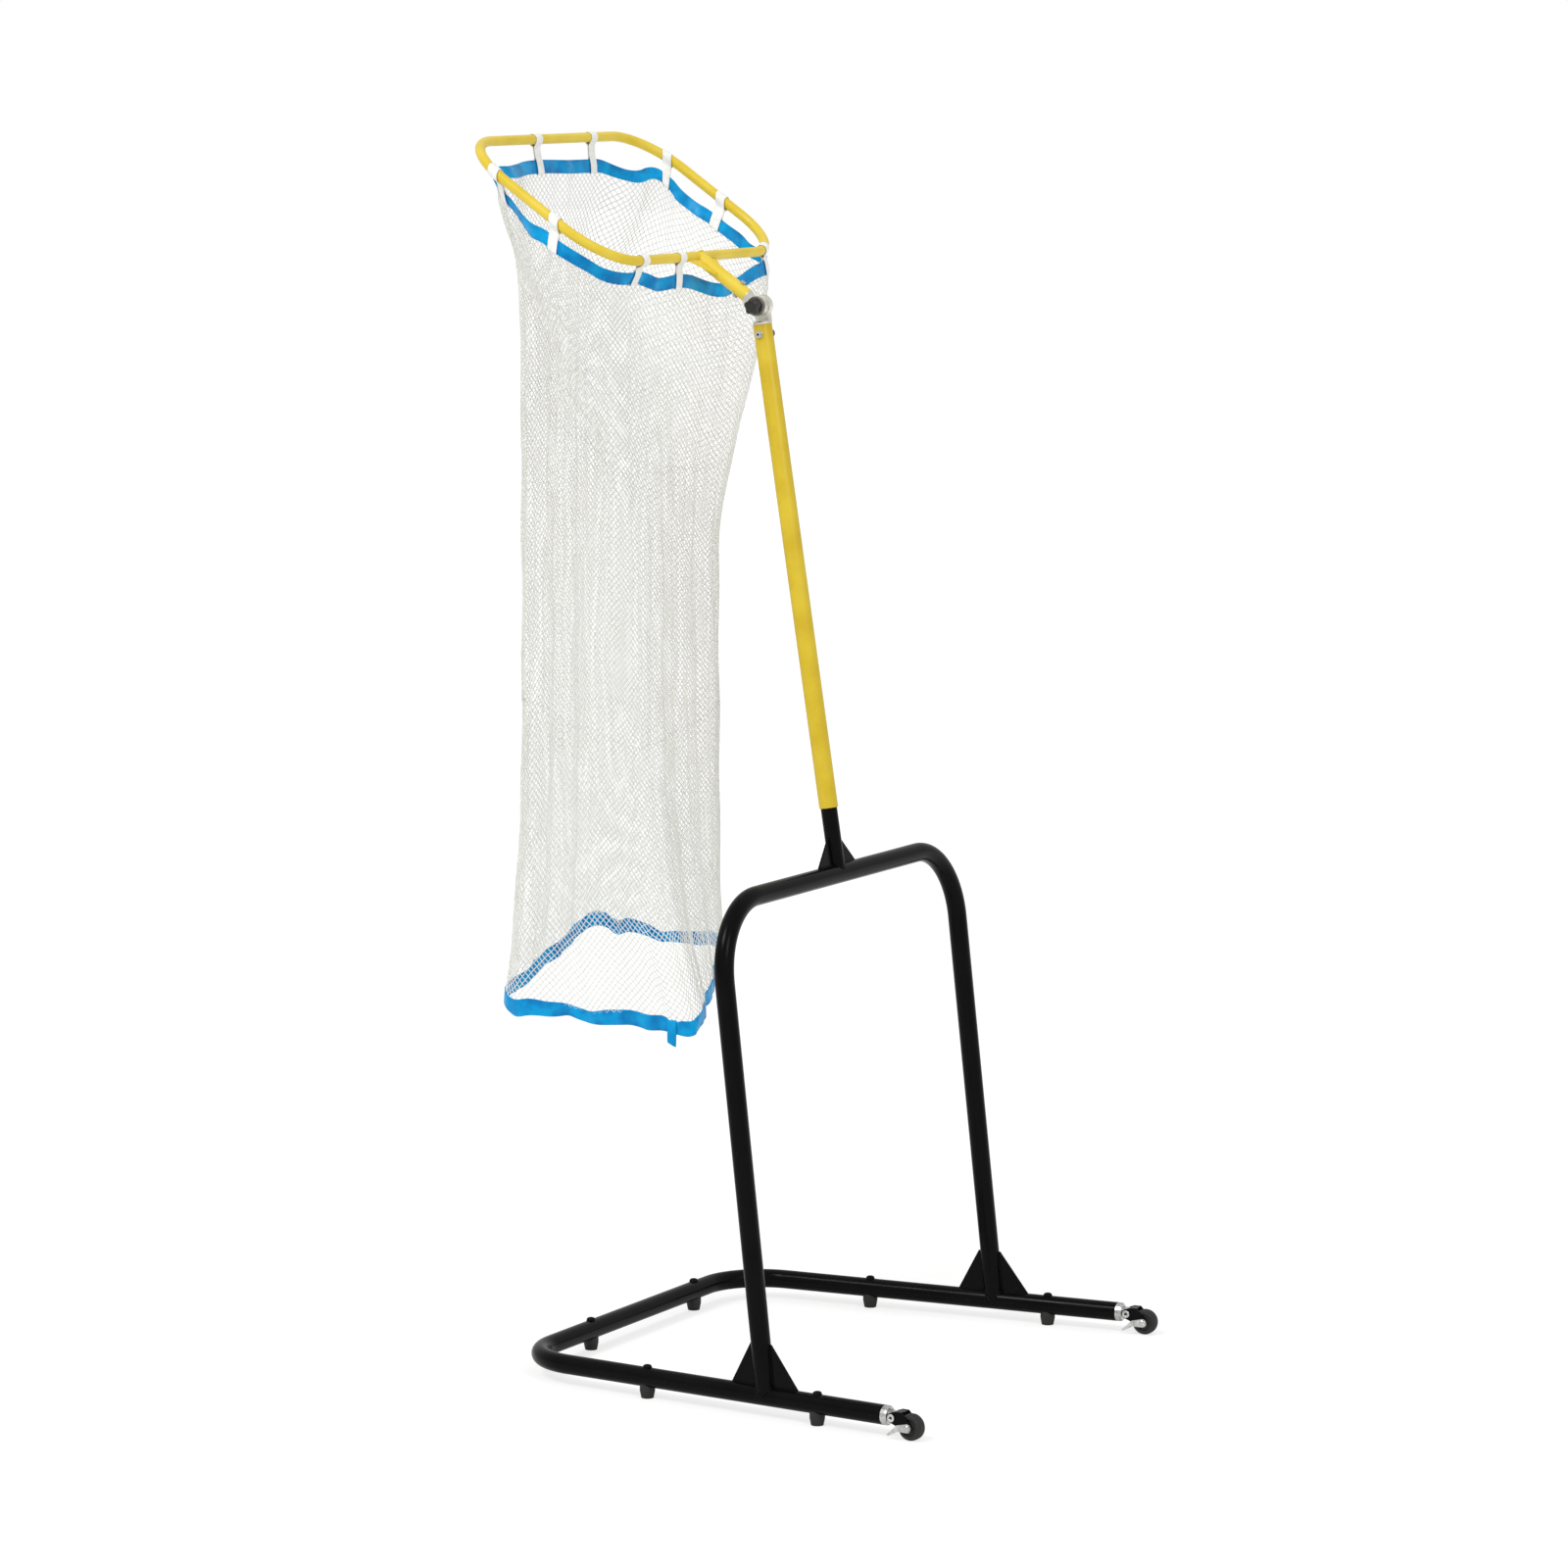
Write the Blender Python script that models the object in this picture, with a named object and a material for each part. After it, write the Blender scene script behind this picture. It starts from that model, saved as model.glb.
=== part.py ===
"""Volleyball practice net: a yellow hoop with a hanging net tube, on a pole and a wheeled floor frame.

X runs from the front bar of the floor frame towards its wheels, Y across, Z up. Sizes are in metres.
The pieces are built with the front bar's centre line over X = 0 and the floor at Z = 0. The whole
model is then moved so that its origin is the bottom centre of its box.
"""

import math

import bmesh
import bpy
from mathutils import Matrix, Vector

# Clearances
GAP = 0.0003
SLIP = 0.0004
BORE_GAP = 0.0005

# Floor frame: one tube bent into a U, closed at the front
TUBE_OD = 0.0424
TUBE_WALL = 0.0016
TUBE_SIDES = 16
FLOOR_TO_TUBE = 0.045
BASE_LENGTH = 0.940
BASE_FRONT_WIDTH = 0.948
BASE_SPLAY = 0.080
BASE_BEND = 0.140
BASE_BEND_STEPS = 7

# Rubber feet and their bolts
FOOT_TOP_RADIUS = 0.0165
FOOT_BOTTOM_RADIUS = 0.0140
FOOT_SIDES = 12
FOOT_WRAP = 0.004
FRONT_FEET_Y = (-0.173, 0.282)
ARM_FEET_X = (0.338, 0.772)
FOOT_BOLT_RADIUS = 0.003
FOOT_BOLT_HEAD_RADIUS = 0.0100
FOOT_BOLT_HEAD_HEIGHT = 0.006
FOOT_BOLT_DEPTH = 0.012

# Leg frame: an inverted U that leans towards the front
LEG_X = 0.643
LEG_LEAN = math.radians(6.46)
LEG_HEIGHT = 1.041
LEG_BEND = 0.165
LEG_BEND_STEPS = 7
PLATE_THICKNESS = 0.004
LEG_GUSSET_REACH = 0.062
LEG_GUSSET_RISE = 0.090
GUSSET_LEDGE = 0.004

# Mast: a stub on the leg frame and the pole that slides over it
MAST_LEAN = math.radians(8.96)
POLE_OD = 0.0414
POLE_WALL = 0.0017
POLE_SIDES = 24
POLE_START = 0.145
POLE_LENGTH = 1.0555
STUB_WALL = 0.002
STUB_INSERT = 0.150
STUB_GUSSET_REACH = 0.062
STUB_GUSSET_RISE = 0.060
STOP_THICKNESS = 0.008

# Tilt joint at the pole's top
PIVOT_ABOVE_POLE = 0.040
SPIGOT_DEPTH = 0.050
FLANGE_HEIGHT = 0.006
CHEEK_RADIUS = 0.024
CHEEK_THICKNESS = 0.016
NECK_HALF_WIDTH = 0.016
HEAD_DISC_RADIUS = 0.022
HEAD_ARM_HALF_WIDTH = 0.0125
HEAD_COLLAR_START = 0.031
HEAD_COLLAR_LENGTH = 0.006
HEAD_SPIGOT_LENGTH = 0.048
PRESSURE_DISC_RADIUS = 0.021
PRESSURE_DISC_THICKNESS = 0.006
JOINT_BOLT_RADIUS = 0.004
JOINT_BOLT_HEAD_RADIUS = 0.0078
JOINT_BOLT_HEAD_HEIGHT = 0.005
KNOB_RADIUS = 0.0185
KNOB_LOBES = 5
KNOB_LOBE_DEPTH = 0.18
KNOB_THICKNESS = 0.020
KNOB_CAP = 0.003
CLAMP_BELOW_TOP = 0.021
CLAMP_BOLT_RADIUS = 0.003
CLAMP_WASHER_RADIUS = 0.0085
CLAMP_WASHER_THICKNESS = 0.0015
CLAMP_HEAD_RADIUS = 0.0055
CLAMP_HEAD_HEIGHT = 0.004
CLAMP_KNOB_RADIUS = 0.0100
CLAMP_KNOB_THICKNESS = 0.014

# Hoop
HOOP_OD = 0.022
HOOP_WALL = 0.0015
HOOP_SIDES = 12
HOOP_BORE_SIDES = 8
HOOP_WIDTH = 0.7715
HOOP_LENGTH = 0.4455
HOOP_CORNER = 0.133
HOOP_BEND_STEPS = 8
HOOP_TILT = math.radians(34.0)
PIVOT_TO_HOOP = 0.185
VENT_RADIUS = 0.003
HOOP_STUB_OD = 0.030
HOOP_STUB_WALL = 0.0016
HOOP_GUSSET_REACH = 0.045
HOOP_GUSSET_RISE = 0.055
HOOP_GUSSET_THICKNESS = 0.003
STUB_BOLT_FROM_PIVOT = 0.062
STUB_BOLT_RADIUS = 0.0028
STUB_BOLT_HEAD_RADIUS = 0.0060
STUB_BOLT_HEAD_HEIGHT = 0.0045

# Straps: place as a share of the way round the hoop from the rear bar's centre towards +Y, then how
# far inwards and how far down each one carries the hem's lower edge. The last two values are how much
# further inwards and down the hem lies half way to the next strap.
STRAPS = (
    ("rear_far", 0.1350, -0.010, 0.054, -0.004, 0.008),
    ("far_rear", 0.2355, 0.040, 0.060, 0.004, 0.006),
    ("far_front", 0.3115, 0.036, 0.062, 0.026, 0.030),
    ("front_far", 0.4260, 0.006, 0.078, 0.000, 0.001),
    ("front_near", 0.5320, 0.012, 0.074, 0.028, 0.010),
    ("near_front", 0.7005, 0.030, 0.062, 0.004, 0.016),
    ("near_rear", 0.7825, -0.016, 0.060, 0.018, 0.004),
    ("rear_near", 0.8920, 0.026, 0.052, 0.000, 0.010),
    ("rear", 0.9637, 0.006, 0.066, 0.000, 0.032),
)
STRAP_WIDTH = 0.026
STRAP_THICKNESS = 0.0015
STRAP_END_RADIUS = 0.0045
STRAP_END_ROOM = 0.0012
STRAP_HOLD = 0.014
STRAP_TOP_STEPS = 8
STRAP_END_STEPS = 5

# Net tube and its two hems
HEM_HEIGHT = 0.030
HEM_THICKNESS = 0.003
RIM_HEM_HEIGHT = 0.034
SEAM_GAP = 0.0009
SPAN_STEPS = 5
NET_THICKNESS = 0.002
NET_FOLDS = 12
NET_FOLD_DEPTH = 0.007
NET_FUNNEL_FRONT = 0.20
NET_FUNNEL_REAR = 0.62
NET_SPLIT_HEIGHT = 2.03
NET_GAPS_ROUND = 12
NET_TOP_GAP_ROWS = 3
NET_BODY_GAP_ROWS = 8
NET_BAR_SHARE = 0.18
NET_BODY_CENTRE = (-0.019, 0.0)
NET_BODY_HALF = (0.166, 0.200)
NET_BODY_CORNER = 0.060
RIM_CORNER = 0.030
RIM_HALF_WIDTH = 0.200
RIM_NEAR_X = (-0.221, 0.293)
RIM_FAR_X = (-0.219, 0.134)
RIM_NEAR_Z = (0.746, 0.730)
RIM_FAR_Z = (0.886, 0.849)
NET_WAIST_HEIGHT = 1.70
NET_FLARE_POWER = 3.0
KNOT_RADIUS = 0.010
KNOT_SHARE = 0.845
TAIL_LENGTH = 0.026
TAIL_WIDTH = 0.012

# Casters
CASTER_X = 0.066
WHEEL_RADIUS = 0.028
WHEEL_WIDTH = 0.024
WHEEL_SIDES = 20
AXLE_RADIUS = 0.004
YOKE_PIN_X = 0.026
YOKE_THICKNESS = 0.003
YOKE_SIDE_GAP = 0.001
YOKE_EYE_RADIUS = 0.011
YOKE_END_RADIUS = 0.010
YOKE_HUMP = 0.0145
YOKE_WEB = (0.034, 0.050)
YOKE_WEB_THICKNESS = 0.0035
YOKE_WEB_INSET = 0.0005
PLUG_FLANGE_LENGTH = 0.014
PLUG_DEPTH = 0.030
EAR_RADIUS = 0.010
AXLE_HEAD_RADIUS = 0.0075
AXLE_HEAD_HEIGHT = 0.004
LEVER_THICKNESS = 0.003
LEVER_EYE_RADIUS = 0.0095
LEVER_TIP = (-0.050, -0.019)
YOKE_WASHER_RADIUS = 0.0085
YOKE_WASHER_THICKNESS = 0.003
SOCKET_RADIUS = 0.003
SOCKET_DEPTH = 0.002

# Worked out from the sizes above
TUBE_R = TUBE_OD / 2
POLE_R = POLE_OD / 2
HOOP_R = HOOP_OD / 2
HOOP_STUB_R = HOOP_STUB_OD / 2
POLE_BORE = (POLE_R - POLE_WALL) * math.cos(math.pi / POLE_SIDES)
HOOP_STUB_BORE = (HOOP_STUB_R - HOOP_STUB_WALL) * math.cos(math.pi / TUBE_SIDES)
STUB_R = POLE_BORE - SLIP
POLE_END = POLE_START + POLE_LENGTH
STUB_END = POLE_START + STUB_INSERT
Y_AXIS = Vector((0, 1, 0))
Z_AXIS = Vector((0, 0, 1))
MAST_DIRECTION = Vector((-math.sin(MAST_LEAN), 0, math.cos(MAST_LEAN)))
LEG_DIRECTION = Vector((-math.sin(LEG_LEAN), 0, math.cos(LEG_LEAN)))
HOOP_DIRECTION = Vector((-math.cos(HOOP_TILT), 0, math.sin(HOOP_TILT)))
HOOP_NORMAL = HOOP_DIRECTION.cross(Y_AXIS)
TOP_BAR = Vector((LEG_X, 0, FLOOR_TO_TUBE)) + LEG_DIRECTION * LEG_HEIGHT
PIVOT = TOP_BAR + MAST_DIRECTION * (POLE_END + PIVOT_ABOVE_POLE)
HOOP_REAR = PIVOT + HOOP_DIRECTION * PIVOT_TO_HOOP
HOOP_CENTRE = HOOP_REAR + HOOP_DIRECTION * (HOOP_LENGTH / 2)
CLAMP_CENTRE = TOP_BAR + MAST_DIRECTION * (POLE_END - CLAMP_BELOW_TOP)
KNOB_FACE = -(CHEEK_THICKNESS + PRESSURE_DISC_THICKNESS + 2 * GAP)

FINISHES = {
    "black_enamel": ((0.012, 0.012, 0.013), 0.25, 0.0),
    "yellow_enamel": ((0.78, 0.62, 0.09), 0.35, 0.0),
    "zinc": ((0.62, 0.62, 0.60), 0.3, 1.0),
    "cast_alloy": ((0.52, 0.52, 0.48), 0.45, 1.0),
    "dark_alloy": ((0.10, 0.10, 0.09), 0.5, 1.0),
    "black_plastic": ((0.015, 0.014, 0.012), 0.45, 0.0),
    "black_rubber": ((0.012, 0.012, 0.012), 0.7, 0.0),
    "white_webbing": ((0.80, 0.80, 0.78), 0.8, 0.0),
    "blue_hem": ((0.01, 0.28, 0.75), 0.35, 0.0),
    "white_net": ((0.78, 0.78, 0.75), 0.85, 0.0),
}


def clear_scene():
    """Empties the scene before anything is built."""
    for item in list(bpy.data.objects):
        bpy.data.objects.remove(item, do_unlink=True)


def finish(name):
    """The material of that name, made once."""
    found = bpy.data.materials.get(name)
    if found:
        return found
    colour, roughness, metallic = FINISHES[name]
    made = bpy.data.materials.new(name)
    made.use_nodes = True
    shader = made.node_tree.nodes["Principled BSDF"]
    shader.inputs["Base Color"].default_value = (*colour, 1.0)
    shader.inputs["Roughness"].default_value = roughness
    shader.inputs["Metallic"].default_value = metallic
    return made


class Axis:
    """An empty on a joint's axis, which carries the pieces of one moving body."""

    def __init__(self, name, place, carrier=None):
        self.place = Vector(place)
        self.empty = bpy.data.objects.new(name, None)
        bpy.context.scene.collection.objects.link(self.empty)
        if carrier:
            self.empty.parent = carrier.empty
            self.empty.location = self.place - carrier.place
        else:
            self.empty.location = self.place


def piece(name, bm, material, axis, round_piece=True, outward=True):
    """Turns a mesh that was built in place into a named object carried by an axis."""
    if outward:
        bmesh.ops.recalc_face_normals(bm, faces=bm.faces)
    bmesh.ops.translate(bm, vec=-axis.place, verts=bm.verts)
    mesh = bpy.data.meshes.new(name)
    bm.to_mesh(mesh)
    bm.free()
    mesh.materials.append(finish(material))
    if round_piece:
        mesh.shade_smooth()
        mesh.set_sharp_from_angle(angle=math.radians(35))
    made = bpy.data.objects.new(name, mesh)
    bpy.context.scene.collection.objects.link(made)
    made.parent = axis.empty
    return made


def shape(target, tool, operation="DIFFERENCE"):
    """Cuts target with a hidden tool, or joins the tool to it."""
    tool.hide_render = True
    tool.display_type = "WIRE"
    modifier = target.modifiers.new(tool.name, "BOOLEAN")
    modifier.operation = operation
    modifier.solver = "EXACT"
    modifier.object = tool


def bridge(bm, first, second):
    """Joins two rings of as many points with faces that look away from the rings' axis."""
    count = len(first)
    for k in range(count):
        after = (k + 1) % count
        bm.faces.new((first[k], first[after], second[after], second[k]))


def ring(bm, centre, across, up, radius, sides):
    """A ring of points round centre, from across towards up."""
    points = []
    for k in range(sides):
        angle = 2 * math.pi * k / sides
        offset = across * math.cos(angle) + up * math.sin(angle)
        points.append(bm.verts.new(centre + offset * radius))
    return points


def rounded_path(corners, bend, steps, closed=False):
    """Centre line through the corners, each rounded to the bend radius, as (point, direction) pairs."""
    path = []
    count = len(corners)
    for i, corner in enumerate(corners):
        if not closed and i in (0, count - 1):
            neighbour = corners[1] if i == 0 else corners[-2]
            direction = (neighbour - corner) if i == 0 else (corner - neighbour)
            path.append((corner.copy(), direction.normalized()))
            continue
        came = (corner - corners[i - 1]).normalized()
        goes = (corners[(i + 1) % count] - corner).normalized()
        turn = came.angle(goes)
        start = corner - came * (bend * math.tan(turn / 2))
        inward = (goes - came * came.dot(goes)).normalized()
        for k in range(steps + 1):
            angle = turn * k / steps
            point = start + came * (bend * math.sin(angle)) + inward * (bend * (1 - math.cos(angle)))
            path.append((point, came * math.cos(angle) + inward * math.sin(angle)))
    return path


def swept_tube(bm, path, up, radius, sides, bore=0.0, bore_sides=None, closed=False):
    """A round tube along a flat path. up is square to the path's plane. A bore of 0 leaves it solid."""
    shells = [(radius, sides)]
    if bore:
        shells.append((bore, bore_sides or sides))
    rings = []
    for size, count in shells:
        rings.append([ring(bm, point, up.cross(along), up, size, count) for point, along in path])
    for number, shell in enumerate(rings):
        pairs = list(zip(shell, shell[1:]))
        if closed:
            pairs.append((shell[-1], shell[0]))
        for first, second in pairs:
            if number == 0:
                bridge(bm, first, second)
            else:
                bridge(bm, second, first)
    if closed:
        return
    if bore:
        bridge(bm, rings[1][0], rings[0][0])
        bridge(bm, rings[0][-1], rings[1][-1])
    else:
        bm.faces.new(list(reversed(rings[0][0])))
        bm.faces.new(rings[0][-1])


def straight_tube(bm, start, end, radius, sides, bore=0.0, up=Y_AXIS):
    """A straight round tube, or a rod where the bore is 0."""
    along = (end - start).normalized()
    swept_tube(bm, [(start, along), (end, along)], up, radius, sides, bore)


def turned(bm, centre, axis, profile, sides, closed=False, start=None):
    """A turned body from (radius, distance along the axis) pairs; closed keeps its bore open."""
    across = start or (Z_AXIS if abs(axis.dot(Z_AXIS)) < 0.9 else Y_AXIS)
    across = (across - axis * across.dot(axis)).normalized()
    up = axis.cross(across)
    rings = []
    for radius, distance in profile:
        place = centre + axis * distance
        if radius == 0:
            rings.append([bm.verts.new(place)])
        else:
            rings.append(ring(bm, place, across, up, radius, sides))
    pairs = list(zip(rings, rings[1:]))
    if closed:
        pairs.append((rings[-1], rings[0]))
    for first, second in pairs:
        if len(first) == 1 or len(second) == 1:
            tip, around = (first[0], second) if len(first) == 1 else (second[0], first)
            for k in range(len(around)):
                bm.faces.new((tip, around[k], around[(k + 1) % len(around)]))
        else:
            bridge(bm, first, second)


def plate(bm, outline, thickness):
    """A flat plate with the outline's points, drawn out by the thickness vector."""
    lower = [bm.verts.new(point) for point in outline]
    upper = [bm.verts.new(point + thickness) for point in outline]
    bm.faces.new(list(reversed(lower)))
    bm.faces.new(upper)
    bridge(bm, lower, upper)


def arc_points(centre, radius, first, last, steps):
    """Points of an arc in the plane, from the first to the last angle in degrees."""
    points = []
    for k in range(steps + 1):
        angle = math.radians(first + (last - first) * k / steps)
        points.append((centre[0] + radius * math.cos(angle), centre[1] + radius * math.sin(angle)))
    return points


def bolt_profile(head_radius, head_height, shank_radius, length, socket=True):
    """A bolt's profile from the head's outer face at 0 down to the shank's end."""
    points = []
    if socket:
        points += [(0, SOCKET_DEPTH), (SOCKET_RADIUS * 0.7, SOCKET_DEPTH), (SOCKET_RADIUS * 0.7, 0)]
    else:
        points += [(0, 0)]
    points += [(head_radius * 0.85, 0), (head_radius, head_height * 0.4), (head_radius, head_height)]
    points += [(shank_radius, head_height), (shank_radius, length), (0, length)]
    return points


def arm_point(side, x):
    """A point on an arm's centre line. side is -1 for the near arm and 1 for the far one."""
    return Vector((x, side * (BASE_FRONT_WIDTH / 2 + BASE_SPLAY * x / BASE_LENGTH), FLOOR_TO_TUBE))


def arm_direction(side):
    """The way an arm runs, from the front bar towards its wheel."""
    return Vector((BASE_LENGTH, side * BASE_SPLAY, 0)).normalized()


def foot_places():
    """Name and place of each foot, under the tube's centre line, with the tube's direction there."""
    places = []
    for label, y in zip(("front_near", "front_far"), FRONT_FEET_Y):
        places.append((label, Vector((0, y, FLOOR_TO_TUBE)), Y_AXIS))
    for arm, side in (("near", -1), ("far", 1)):
        for label, x in zip(("front", "rear"), ARM_FEET_X):
            places.append((f"{arm}_{label}", arm_point(side, x), arm_direction(side)))
    return places


def build_base(stand):
    """The U-shaped floor tube, its feet and the bolts that hold them."""
    corners = [arm_point(-1, BASE_LENGTH), arm_point(-1, 0), arm_point(1, 0), arm_point(1, BASE_LENGTH)]
    bm = bmesh.new()
    path = rounded_path(corners, BASE_BEND, BASE_BEND_STEPS)
    swept_tube(bm, path, Z_AXIS, TUBE_R, TUBE_SIDES, TUBE_R - TUBE_WALL)
    base = piece("base_tube", bm, "black_enamel", stand)
    for label, place, along in foot_places():
        build_foot(label, place, along, stand, base)


def build_foot(label, place, along, stand, base):
    """One rubber foot under the tube, with its bolt through both."""
    tube_bottom = place - Z_AXIS * TUBE_R
    floor = Vector((place.x, place.y, 0))
    height = tube_bottom.z + FOOT_WRAP
    bm = bmesh.new()
    profile = [(0, 0), (FOOT_BOTTOM_RADIUS, 0), (FOOT_TOP_RADIUS, height * 0.6)]
    profile += [(FOOT_TOP_RADIUS, height), (0, height)]
    turned(bm, floor, Z_AXIS, profile, FOOT_SIDES)
    foot = piece(f"foot_{label}", bm, "black_rubber", stand)

    bm = bmesh.new()
    reach = FOOT_TOP_RADIUS * 3
    saddle = (TUBE_R + GAP) / math.cos(math.pi / TUBE_SIDES)
    straight_tube(bm, place - along * reach, place + along * reach, saddle, TUBE_SIDES, up=Z_AXIS)
    shape(foot, piece(f"cut_saddle_{label}", bm, "zinc", stand))

    bm = bmesh.new()
    low = tube_bottom - Z_AXIS * (FOOT_BOLT_DEPTH + BORE_GAP)
    straight_tube(bm, low, place + Z_AXIS * TUBE_OD, FOOT_BOLT_RADIUS + BORE_GAP, 8)
    hole = piece(f"cut_bolt_{label}", bm, "zinc", stand)
    shape(foot, hole)
    shape(base, hole)

    bm = bmesh.new()
    top = place + Z_AXIS * (TUBE_R + GAP + FOOT_BOLT_HEAD_HEIGHT)
    length = FOOT_BOLT_HEAD_HEIGHT + GAP + TUBE_OD + FOOT_BOLT_DEPTH
    profile = [(0, 0), (FOOT_BOLT_HEAD_RADIUS * 0.6, 0.001)]
    profile += [(FOOT_BOLT_HEAD_RADIUS, FOOT_BOLT_HEAD_HEIGHT * 0.6)]
    profile += [(FOOT_BOLT_HEAD_RADIUS, FOOT_BOLT_HEAD_HEIGHT), (FOOT_BOLT_RADIUS, FOOT_BOLT_HEAD_HEIGHT)]
    profile += [(FOOT_BOLT_RADIUS, length), (0, length)]
    turned(bm, top, -Z_AXIS, profile, 8)
    piece(f"foot_bolt_{label}", bm, "black_enamel", stand)


def build_legs(stand):
    """The inverted U on the floor tube and the plates that brace its feet."""
    feet = {side: arm_point(side, LEG_X) for side in (-1, 1)}
    rise = LEG_DIRECTION * LEG_HEIGHT
    corners = [feet[-1], feet[-1] + rise, feet[1] + rise, feet[1]]
    bm = bmesh.new()
    path = rounded_path(corners, LEG_BEND, LEG_BEND_STEPS)
    swept_tube(bm, path, LEG_DIRECTION.cross(Y_AXIS), TUBE_R, TUBE_SIDES, TUBE_R - TUBE_WALL)
    legs = piece("leg_frame", bm, "black_enamel", stand)
    saddle = (TUBE_R + GAP) / math.cos(math.pi / TUBE_SIDES)
    for label, side in (("near", -1), ("far", 1)):
        along = arm_direction(side)
        bm = bmesh.new()
        reach = along * TUBE_OD * 2
        straight_tube(bm, feet[side] - reach, feet[side] + reach, saddle, TUBE_SIDES, up=Z_AXIS)
        shape(legs, piece(f"cut_leg_{label}", bm, "zinc", stand))
        for end, way in (("front", -1), ("rear", 1)):
            build_leg_gusset(f"leg_gusset_{label}_{end}", feet[side], along, way, stand)


def build_leg_gusset(name, foot, along, way, stand):
    """A triangular plate between a leg and the floor tube. way is -1 in front of the leg and 1 behind it."""
    low = TUBE_R + GAP
    high = low + LEG_GUSSET_RISE

    def leg_face(height):
        return -height * math.tan(LEG_LEAN) + way * (TUBE_R + GAP) / math.cos(LEG_LEAN)

    corners = [
        (leg_face(low), low),
        (leg_face(low) + way * LEG_GUSSET_REACH, low),
        (leg_face(high) + way * GUSSET_LEDGE, high),
        (leg_face(high), high),
    ]
    across = Z_AXIS.cross(along)
    outline = [foot + along * a + Z_AXIS * z - across * (PLATE_THICKNESS / 2) for a, z in corners]
    bm = bmesh.new()
    plate(bm, outline, across * PLATE_THICKNESS)
    piece(name, bm, "black_enamel", stand, round_piece=False)


def build_stub(stand):
    """The stub that carries the pole, and its two braces."""
    bm = bmesh.new()
    straight_tube(bm, TOP_BAR, TOP_BAR + MAST_DIRECTION * STUB_END, STUB_R, TUBE_SIDES, STUB_R - STUB_WALL)
    stub = piece("mast_stub", bm, "black_enamel", stand)
    bm = bmesh.new()
    saddle = (TUBE_R + GAP) / math.cos(math.pi / TUBE_SIDES)
    reach = Y_AXIS * TUBE_OD * 2
    straight_tube(bm, TOP_BAR - reach, TOP_BAR + reach, saddle, TUBE_SIDES, up=MAST_DIRECTION)
    shape(stub, piece("cut_stub_saddle", bm, "zinc", stand))
    face = MAST_DIRECTION.cross(Y_AXIS)
    low = TUBE_R + GAP
    high = low + STUB_GUSSET_RISE
    for label, side in (("near", -1), ("far", 1)):
        inner = side * (STUB_R + GAP)
        corners = [
            (inner, low),
            (inner + side * STUB_GUSSET_REACH, low),
            (inner + side * GUSSET_LEDGE, high),
            (inner, high),
        ]
        middle = TOP_BAR - face * (PLATE_THICKNESS / 2)
        outline = [middle + Y_AXIS * y + MAST_DIRECTION * z for y, z in corners]
        bm = bmesh.new()
        plate(bm, outline, face * PLATE_THICKNESS)
        piece(f"stub_gusset_{label}", bm, "black_enamel", stand, round_piece=False)


def build_pole(mast):
    """The pole, the stop inside it and the bolt and knob that hold the joint's spigot."""
    bm = bmesh.new()
    foot = TOP_BAR + MAST_DIRECTION * POLE_START
    straight_tube(bm, foot, TOP_BAR + MAST_DIRECTION * POLE_END, POLE_R, POLE_SIDES,
                  POLE_R - POLE_WALL)
    pole = piece("pole_tube", bm, "yellow_enamel", mast)
    shape(pole, clamp_hole("pole", mast))

    bm = bmesh.new()
    low = TOP_BAR + MAST_DIRECTION * (STUB_END + GAP)
    straight_tube(bm, low, low + MAST_DIRECTION * STOP_THICKNESS, POLE_BORE - SLIP, TUBE_SIDES)
    piece("pole_stop", bm, "black_plastic", mast)

    bm = bmesh.new()
    seat = POLE_R + GAP
    head = CLAMP_WASHER_THICKNESS + CLAMP_HEAD_HEIGHT
    length = head + 2 * seat + CLAMP_KNOB_THICKNESS * 0.6
    profile = [(0, SOCKET_DEPTH), (SOCKET_RADIUS, SOCKET_DEPTH), (SOCKET_RADIUS, 0), (CLAMP_HEAD_RADIUS, 0)]
    profile += [(CLAMP_HEAD_RADIUS, CLAMP_HEAD_HEIGHT), (CLAMP_WASHER_RADIUS, CLAMP_HEAD_HEIGHT)]
    profile += [(CLAMP_WASHER_RADIUS, head), (CLAMP_BOLT_RADIUS, head), (CLAMP_BOLT_RADIUS, length)]
    profile += [(0, length)]
    turned(bm, CLAMP_CENTRE - Y_AXIS * (seat + head), Y_AXIS, profile, 12)
    piece("clamp_bolt", bm, "zinc", mast)


def clamp_hole(label, axis):
    """A cutter for the clamp bolt's way through the pole and the spigot."""
    bm = bmesh.new()
    reach = Y_AXIS * POLE_OD
    straight_tube(bm, CLAMP_CENTRE - reach, CLAMP_CENTRE + reach, CLAMP_BOLT_RADIUS + BORE_GAP, 8,
                  up=Z_AXIS)
    return piece(f"cut_clamp_{label}", bm, "zinc", axis)


def build_clamp_knob(clamp):
    """The black knob on the clamp bolt's far end."""
    bm = bmesh.new()
    bore = CLAMP_BOLT_RADIUS + BORE_GAP
    depth = CLAMP_KNOB_THICKNESS * 0.6 + BORE_GAP
    profile = [(0, depth), (bore, depth), (bore, 0), (CLAMP_KNOB_RADIUS * 0.8, 0)]
    profile += [(CLAMP_KNOB_RADIUS, 0.002), (CLAMP_KNOB_RADIUS, CLAMP_KNOB_THICKNESS - 0.003)]
    profile += [(CLAMP_KNOB_RADIUS * 0.7, CLAMP_KNOB_THICKNESS)]
    profile += [(0, CLAMP_KNOB_THICKNESS)]
    turned(bm, CLAMP_CENTRE + Y_AXIS * (POLE_R + GAP), Y_AXIS, profile, 16)
    piece("clamp_knob", bm, "black_plastic", clamp)


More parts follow.
